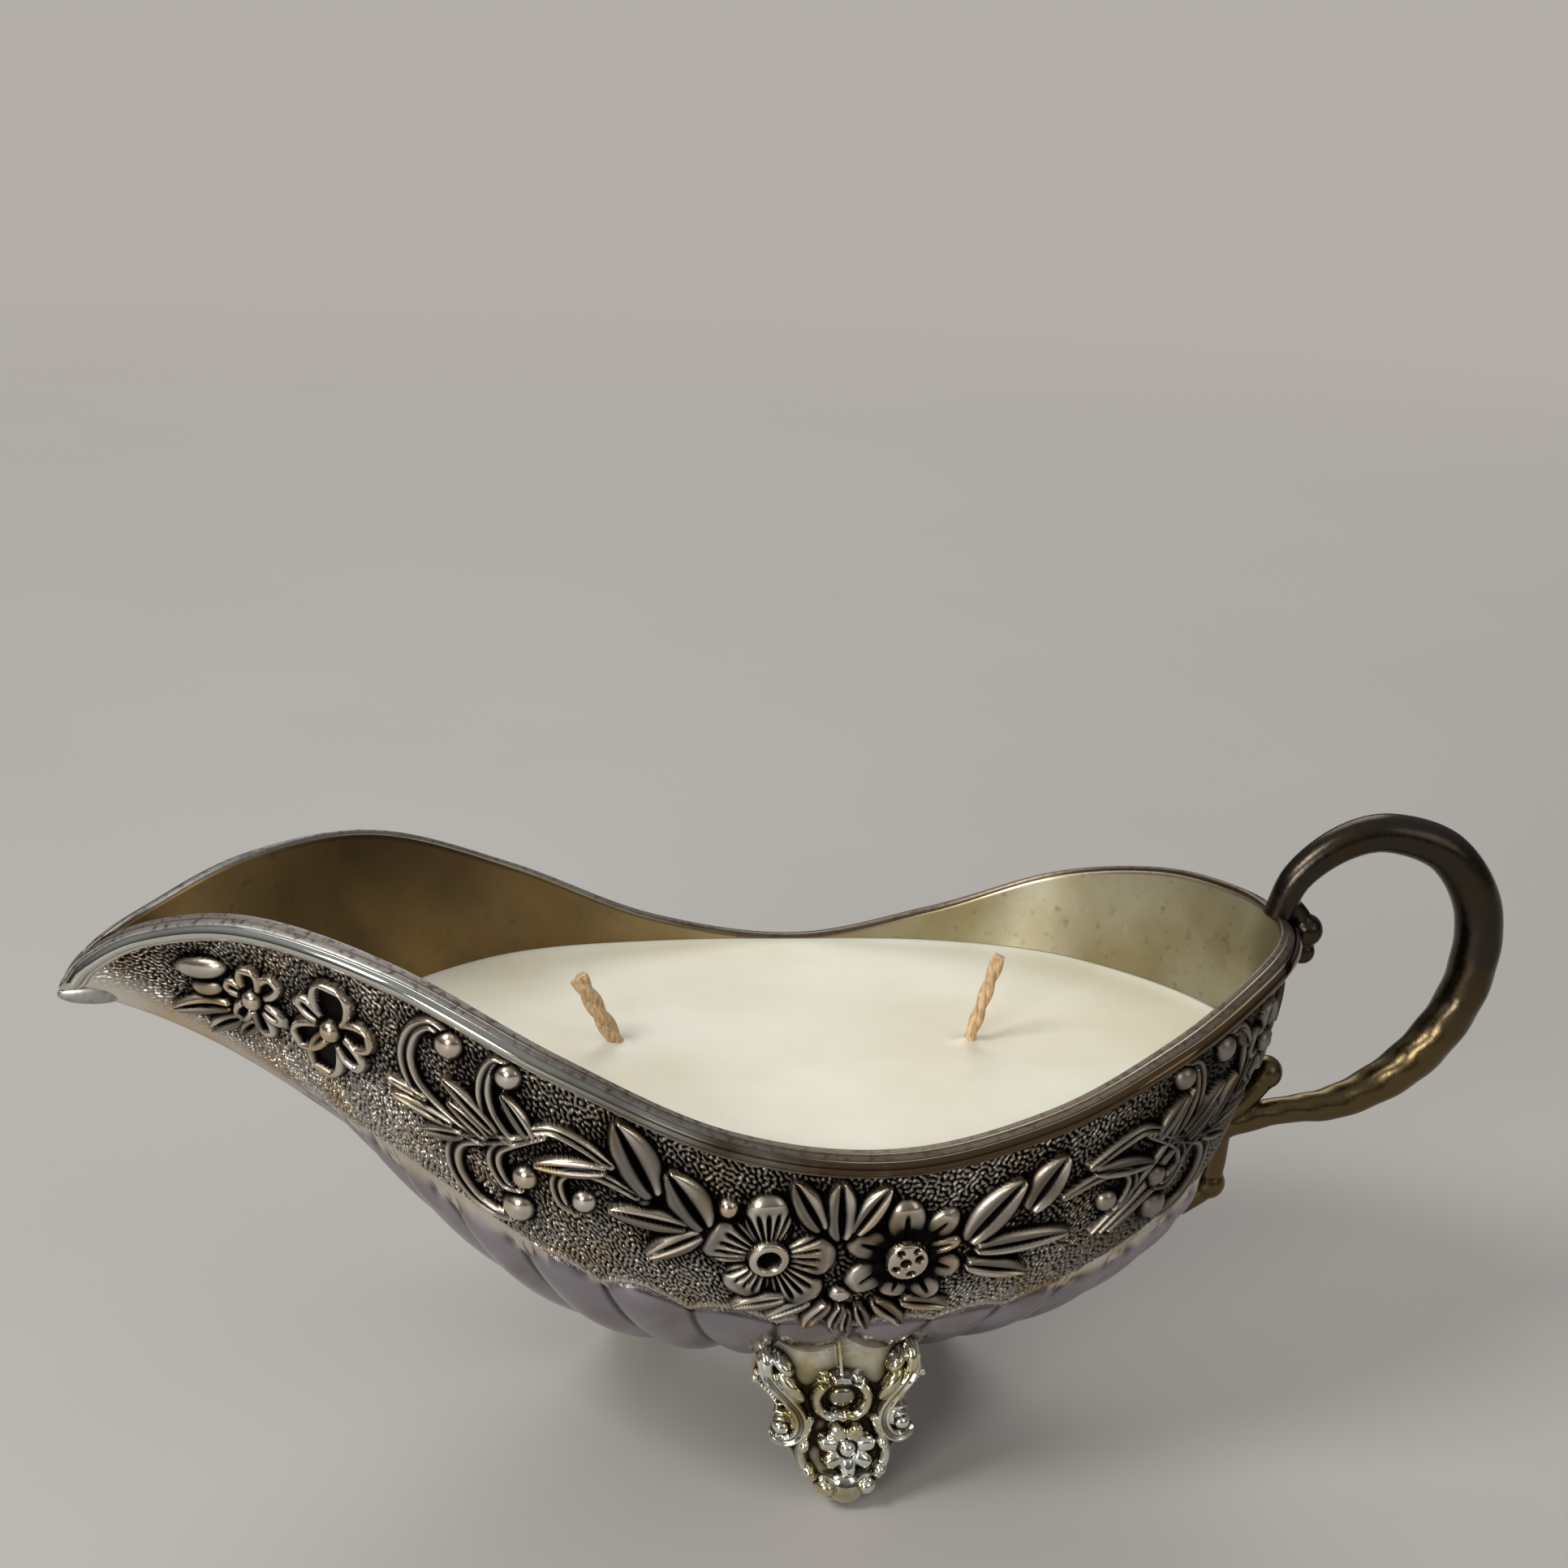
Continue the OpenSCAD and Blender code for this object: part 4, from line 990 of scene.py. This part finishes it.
footForm = {
    # height, half-width, reach to the front and reach to the back of the foot's body
    "body": [(0, 2.2, 0.5, 2.8), (1.2, 3.5, 2.9, 3.0), (2.6, 4.45, 3.6, 3.1), (4.3, 5.6, 3.5, 3.1),
             (5.9, 6.8, 3.1, 3.0), (7.3, 7.5, 2.6, 3.0), (9.3, 8.3, 2.3, 3.1), (10.6, 9.5, 2.1, 3.1),
             (13, 10.8, 2.0, 3.1), (14.7, 10.5, 2.1, 3.2), (16, 10.0, 2.2, 3.3), (17, 9.9, 2.3, 3.3),
             (18.4, 10.2, 2.6, 3.4), (19.7, 11.1, 3.0, 3.6), (21, 12.3, 3.4, 4.2), (21.9, 13.0, 3.6, 4.8),
             (22.7, 13.0, 3.7, 5.2), (24.4, 12.9, 3.6, 6.4), (27, 12.7, 3.1, 8.0), (33, 12.0, 1.6, 10)],
    "lean": -3, "leanHeight": 30,  # how far the top stands to the left of the toe, at that height
    "squareWithin": 10,  # a foot this near the middle of the bowl faces straight out, another turns away from it
    "rows": 210, "across": 180, "behind": 40,
    "stems": [  # route, width, lift, ridges
        ([(11.2, 25.9), (10.7, 23.2), (8.5, 20), (6.8, 17.4), (6.2, 15.2), (6.8, 13.1), (8.4, 11.9), (10, 12.7),
          (10.5, 14.7), (9.6, 16.3), (8.3, 16.3), (7.9, 15.1)], 2.5, 1.8, 2),
        ([(5, 15.4), (6.2, 11.5), (6.4, 8.3), (5, 5.6)], 1.9, 1.4, 1),
        ([(0, 23.6), (2.4, 22.9), (3.9, 20.2), (3.5, 17.6), (2, 16.3), (0.8, 16.5), (0, 16.1)], 2.1, 1.8, 1),
        ([(0, 30), (0, 26), (0, 23)], 0.9, 1.2, 1),
    ],
    "domes": [  # base, tip, width, lift, tarnish
        ((9.6, 24.6), (5.6, 18.6), 2.5, 1.8, 0),
        ((9.9, 27), (7.3, 23.8), 2.2, 2.0, 0), ((11.1, 28.2), (10.9, 22.8), 2.3, 2.0, 0),
        ((0, 17.8), (0, 21.8), 4.4, 1.2, 0.6), ((0, 0.8), (0, 6.3), 5.2, 0.9, 0.3),
        ((5.6, 12.2), (6.5, 9.6), 1.9, 1.9, 0), ((5.4, 7.8), (5.4, 5.4), 2.0, 1.9, 0),
    ],
    "balls": [(9.2, 14.1, 1.2), (13.0, 22.6, 0.9), (3.3, 4.2, 1.35), (2.4, 23.4, 0.8)],
    "flower": {"centre": (0.5, 10.7), "petals": 7, "reach": 4.7, "width": 2.8, "lift": 1.9, "ball": 1.3},
    "beads": 8, "beadRadius": 0.38, "beadRoute": [(12.3, 21.6), (10.6, 19.4), (9.6, 17.4)],
}


def footBody():
    # rows up the foot: points across its front from left to right, then across its back from right to left
    body = throughPoints(footForm["body"], footForm["rows"])
    across = np.sin(np.pi / 2 * np.linspace(-1, 1, footForm["across"]))
    z, half, front, back = (body[:, k][:, None] for k in range(4))
    face = np.stack([half * across, -front * np.sqrt(1 - across ** 2), z + 0 * across], -1)
    behind = np.sin(np.pi / 2 * np.linspace(1, -1, footForm["behind"]))[1:-1]
    rear = np.stack([half * behind, back * (1 - np.abs(behind) ** 2.6) ** (1 / 2.6), z + 0 * behind], -1)
    return across, face, rear


def carveFoot():
    f = footForm
    across, face, rear = footBody()
    flat = face * (1, 0, 1)
    field = newField(flat.reshape(-1, 3), lambda p: (np.array([p[0], 0.0, p[1]]), np.array([0.0, -1.0, 0.0])))
    for s in (1, -1):
        for base, tip, *form in f["domes"]:
            raiseDome(field, (s * base[0], base[1]), (s * tip[0], tip[1]), *form)
        for route, width, lift, ridges in f["stems"]:
            raiseStem(field, [(s * x, z) for x, z in route], width, lift, ridges, even=True)
        for x, z, r in f["balls"]:
            raiseBall(field, (s * x, z), r, -0.5)
    flower = f["flower"]
    x, z = flower["centre"]
    for turn in np.arange(flower["petals"]) * 2 * np.pi / flower["petals"] + 0.2:
        tip = (x + flower["reach"] * math.cos(turn), z + flower["reach"] * math.sin(turn))
        raisePetal(field, (x, z), tip, flower["width"], flower["lift"], "plain")
    raiseBall(field, flower["centre"], flower["ball"], -0.9)
    shape = face.shape[:2]
    height, stainAndShade = field["height"].reshape(shape), field["stainAndShade"].reshape(shape)
    edge = smooth((1 - np.abs(across)) / 0.02)
    out = unit(np.stack([0.5 * across ** 3, -np.ones_like(across), 0 * across], -1))
    # tarnish and painted shade gathered in the recesses, broad hollows darkened by the wide blur
    hollow = 1.5 * (blur(height, 4) - height) + 0.6 * (blur(height, 12) - height)
    worn = np.maximum(np.clip(hollow, 0, 1), 0.8 * stainAndShade) * edge
    rings = np.concatenate([face + (height * edge)[..., None] * out, rear], 1)
    worn = np.concatenate([worn, np.zeros(rear.shape[:2])], 1)
    points, faces = closeLoft(rings[::-1], rings[-1].mean(0), rings[0].mean(0))
    worn = np.concatenate([worn[::-1].ravel(), [0, 0]])
    spots = []
    for x, z in throughPoints(f["beadRoute"], f["beads"]):
        row = face[np.abs(face[:, 0, 2] - z).argmin()]
        y = np.interp(x, row[:, 0], row[:, 1]) - 0.1
        spots += [(x, y, z), (-x, y, z)]
    beads = nodeMesh("beadRow", beadTree(), {"Radius": f["beadRadius"], "Finish": footFinish}, spots)
    points, faces = joinParts([(points, faces), beads])
    points[:, 2] = np.maximum(points[:, 2], 0)
    points[:, 0] += f["lean"] * points[:, 2] / f["leanHeight"]
    return points, faces, np.concatenate([worn, np.zeros(len(beads[0]))])


footPlaces = {"footNear": ("foot_near", (4.5, -28.5)), "footStern": ("foot_stern", (26.5, 25)),
              "footSpout": ("foot_spout", (-19.5, 27.5))}


def footPieces():
    co, faces, worn = carveFoot()
    for name, (node, toe) in footPlaces.items():
        away = toe[0] - bowl["bellyX"]
        yaw = 0 if abs(away) < footForm["squareWithin"] else math.atan2(away, -toe[1])
        c, s = math.cos(yaw), math.sin(yaw)
        placed = co @ np.array([[c, s, 0], [-s, c, 0], [0, 0, 1]]) + (*toe, 0)
        piece = meshPiece(name, placed, faces, footFinish, attributes={"patinaAndShade": worn})
        settle(piece, "bright_silver", node)


footPieces()
print("feet made")


# Candle

wax = {"level": 64.5, "meniscus": 0.7, "meniscusWidth": 2.2, "rings": 60, "count": 480}
wickForm = {
    "wickStern": {"node": "wick_stern", "root": (26.3, -0.8), "lean": (3.8, 14), "radius": 1.1},
    "wickSpout": {"node": "wick_spout", "root": (-29.5, 1.8), "lean": (-6, 10.5), "radius": 1.45},
}
yarn = {"plies": 2, "ply": 0.74, "lay": 0.3, "pitch": 9, "buried": 6}


def waxEdge(t, side):
    # inside wall at the wax's level
    low, high = np.full(len(t), 0.02), np.ones(len(t))
    for _ in range(24):
        middle = (low + high) / 2
        under = innerPoint(t, side, middle, bowl["wall"])[:, 2] < wax["level"]
        low, high = np.where(under, middle, low), np.where(under, high, middle)
    return innerPoint(t, side, low, bowl["wall"] + 0.05)


def waxPiece():
    t, side = allRound(wax["count"])
    edge = waxEdge(t, side)
    middle = np.array([-8.0, 0, wax["level"]])
    share = np.concatenate([np.linspace(0.02, 0.9, wax["rings"] - 20), np.linspace(0.91, 1, 20)])
    rings = middle + (edge - middle) * share[:, None, None]
    away = np.linalg.norm(edge - rings, axis=-1)
    rings[..., 2] = wax["level"] + wax["meniscus"] * np.exp(-away / wax["meniscusWidth"] * 2)
    x, y = rings[..., 0], rings[..., 1]
    rings[..., 2] += 0.12 * np.sin(x / 11 + 0.6) * np.cos(y / 8) - 0.15
    for form in wickForm.values():
        gap = np.hypot(x - form["root"][0], y - form["root"][1])
        rings[..., 2] += 0.9 * bell(gap / (1.5 * form["radius"])) - 0.25 * bell(gap / 7)
    wall = np.array([innerPoint(t, side, np.full(len(t), v), bowl["wall"] + 0.05) for v in (0.6, 0.4, 0.2, 0.08)])
    wall[..., 2] = np.minimum(wall[..., 2], wax["level"] - 3)
    points = np.vstack([rings, wall])
    floor = [bowl["bellyX"], 0, bowl["bellyHeight"] + bowl["wall"] + 0.05]
    piece = meshPiece("waxFill", *closeLoft(points, [middle[0], 0, rings[0, :, 2].mean()], floor), waxFinish)
    settle(piece, "wax", "wax_fill")


waxPiece()
print("wax poured")


def yarnTree():
    # plies of a twisted yarn standing on the origin
    sizes = {label: "Float" for label in ("Turns", "Height", "Lay radius", "Ply radius")}
    tree, add, given = startTree("twistedYarn", {"Plies": "Int", **sizes, "Finish": "Material"})
    spiral = add("GeometryNodeCurveSpiral",
                 {"Resolution": 24, "Rotations": given["Turns"], "Start Radius": given["Lay radius"],
                  "End Radius": given["Lay radius"], "Height": given["Height"]})
    section = add("GeometryNodeCurvePrimitiveCircle", {"Resolution": 16, "Radius": given["Ply radius"]})
    ply = add("GeometryNodeCurveToMesh", {"Curve": spiral, "Profile Curve": section, "Fill Caps": True})
    spots = add("GeometryNodePoints", {"Count": given["Plies"]})
    share = add("Math", (add("GeometryNodeInputIndex"), given["Plies"]), operation="DIVIDE")
    turn = add("Math", (share, 2 * math.pi), operation="MULTIPLY")
    rotation = add("FunctionNodeEulerToRotation", [add("CombineXYZ", {"Z": turn})])
    plies = add("GeometryNodeInstanceOnPoints", {"Points": spots, "Instance": ply, "Rotation": rotation})
    return endTree(tree, plies, given["Finish"])


def wickPieces():
    tree = yarnTree()
    for name, form in wickForm.items():
        lean = np.array([form["lean"][0], 0, form["lean"][1]])
        free = np.linalg.norm(lean)
        tall = free + yarn["buried"]
        points, faces = nodeMesh(name + "Yarn", tree,
                                 {"Plies": yarn["plies"], "Turns": tall / yarn["pitch"], "Height": tall,
                                  "Lay radius": yarn["lay"] * form["radius"],
                                  "Ply radius": yarn["ply"] * form["radius"], "Finish": hempFinish})
        root = np.array([form["root"][0], form["root"][1], wax["level"]])
        upright, leaning = np.array([0.0, 0, 1]), lean / free
        z = points[:, 2] - yarn["buried"]
        bend = smooth((z + 1.5) / 4)[:, None]
        along = unit((1 - bend) * upright + bend * leaning)
        side = np.array([0.0, 1, 0])
        spine = root + np.where(z[:, None] < 0, z[:, None] * upright, z[:, None] * leaning)
        placed = spine + points[:, :1] * np.cross(side, along) + points[:, 1:2] * side
        piece = meshPiece(name, placed, faces, hempFinish)
        settle(piece, "hemp", form["node"])


wickPieces()
print("wicks made")

for node in ("tab_spout", "tab_stern"):
    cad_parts[node].data.materials.clear()
    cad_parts[node].data.materials.append(tabFinish)


# Floor, light and world

studio = {
    "floor": ("#bcb7b0", "#b6b1aa"), "floorSize": 40000,  # mm
    "farFloor": "#b3aea7", "farFrom": (0.35, 1.1),  # begins and is full at, m from the object
    "lights": [  # place mm, target mm, size mm, watts
        ((-1000, -500, 1150), (0, 0, 50), 500, 11.5),
        ((1000, -1050, 800), (0, 0, 40), 700, 2.0),
        ((150, 1150, 1100), (0, 0, 60), 900, 6.0),
        ((-650, -1000, 420), (0, 0, 40), 350, 6.5),
    ],
    "world": ("#2a2725", "#d6d8da"), "worldStrength": 0.6,
}


def buildStage():
    # the floor takes shadow near the object, and far off it has one even tone, to the eye and in the silver
    material, add, coords, haze = startFinish("paleFloor", (90, 2.0))
    color = add("Mix", {0: haze, 6: studio["floor"][0], 7: studio["floor"][1]}, **blend)
    paint = add("BsdfPrincipled", {"Base Color": color, "Roughness": 0.6})
    glow = add("Emission", {"Color": studio["farFloor"], "Strength": 1.0})
    away = add("VectorMath", [coords], "Value", operation="LENGTH")
    far = add("MapRange", (away, *studio["farFrom"]))
    rays = add("LightPath").node.outputs
    seen = rays["Is Camera Ray"]
    for kind in ("Is Glossy Ray", "Is Transmission Ray"):
        seen = add("Math", (seen, rays[kind]), operation="MAXIMUM")
    share = add("Math", (far, seen), operation="MULTIPLY")
    add("OutputMaterial", {"Surface": add("MixShader", (share, paint, glow))})
    half = studio["floorSize"] / 2
    floor = meshPiece("floor", [(-half, -half, 0), (half, -half, 0), (half, half, 0), (-half, half, 0)],
                      [(0, 1, 2, 3)], material)
    for i, (place, target, size, watts) in enumerate(studio["lights"]):
        data = bpy.data.lights.new("softbox%d" % i, "AREA")
        data.size = size * mm
        data.energy = watts
        lamp = bpy.data.objects.new("softbox%d" % i, data)
        lamp.location = Vector(place) * mm
        lamp.rotation_euler = (Vector(target) - Vector(place)).to_track_quat("-Z", "Y").to_euler()
        bpy.context.scene.collection.objects.link(lamp)
    world = bpy.data.worlds.new("studio")
    world.use_nodes = True
    world.node_tree.nodes.clear()
    add = partial(addNode, world.node_tree)
    rise = add("SeparateXYZ", [add("TexCoord", out="Generated")], "Z")
    height = add("MapRange", (rise, 0.0, 0.8))
    sky = add("Mix", {0: height, 6: studio["world"][0], 7: studio["world"][1]}, **blend)
    light = add("Background", {"Color": sky, "Strength": studio["worldStrength"]})
    add("OutputWorld", {"Surface": light})
    bpy.context.scene.world = world


buildStage()
bpy.context.scene.view_settings.view_transform = "Standard"
print("stage lit")
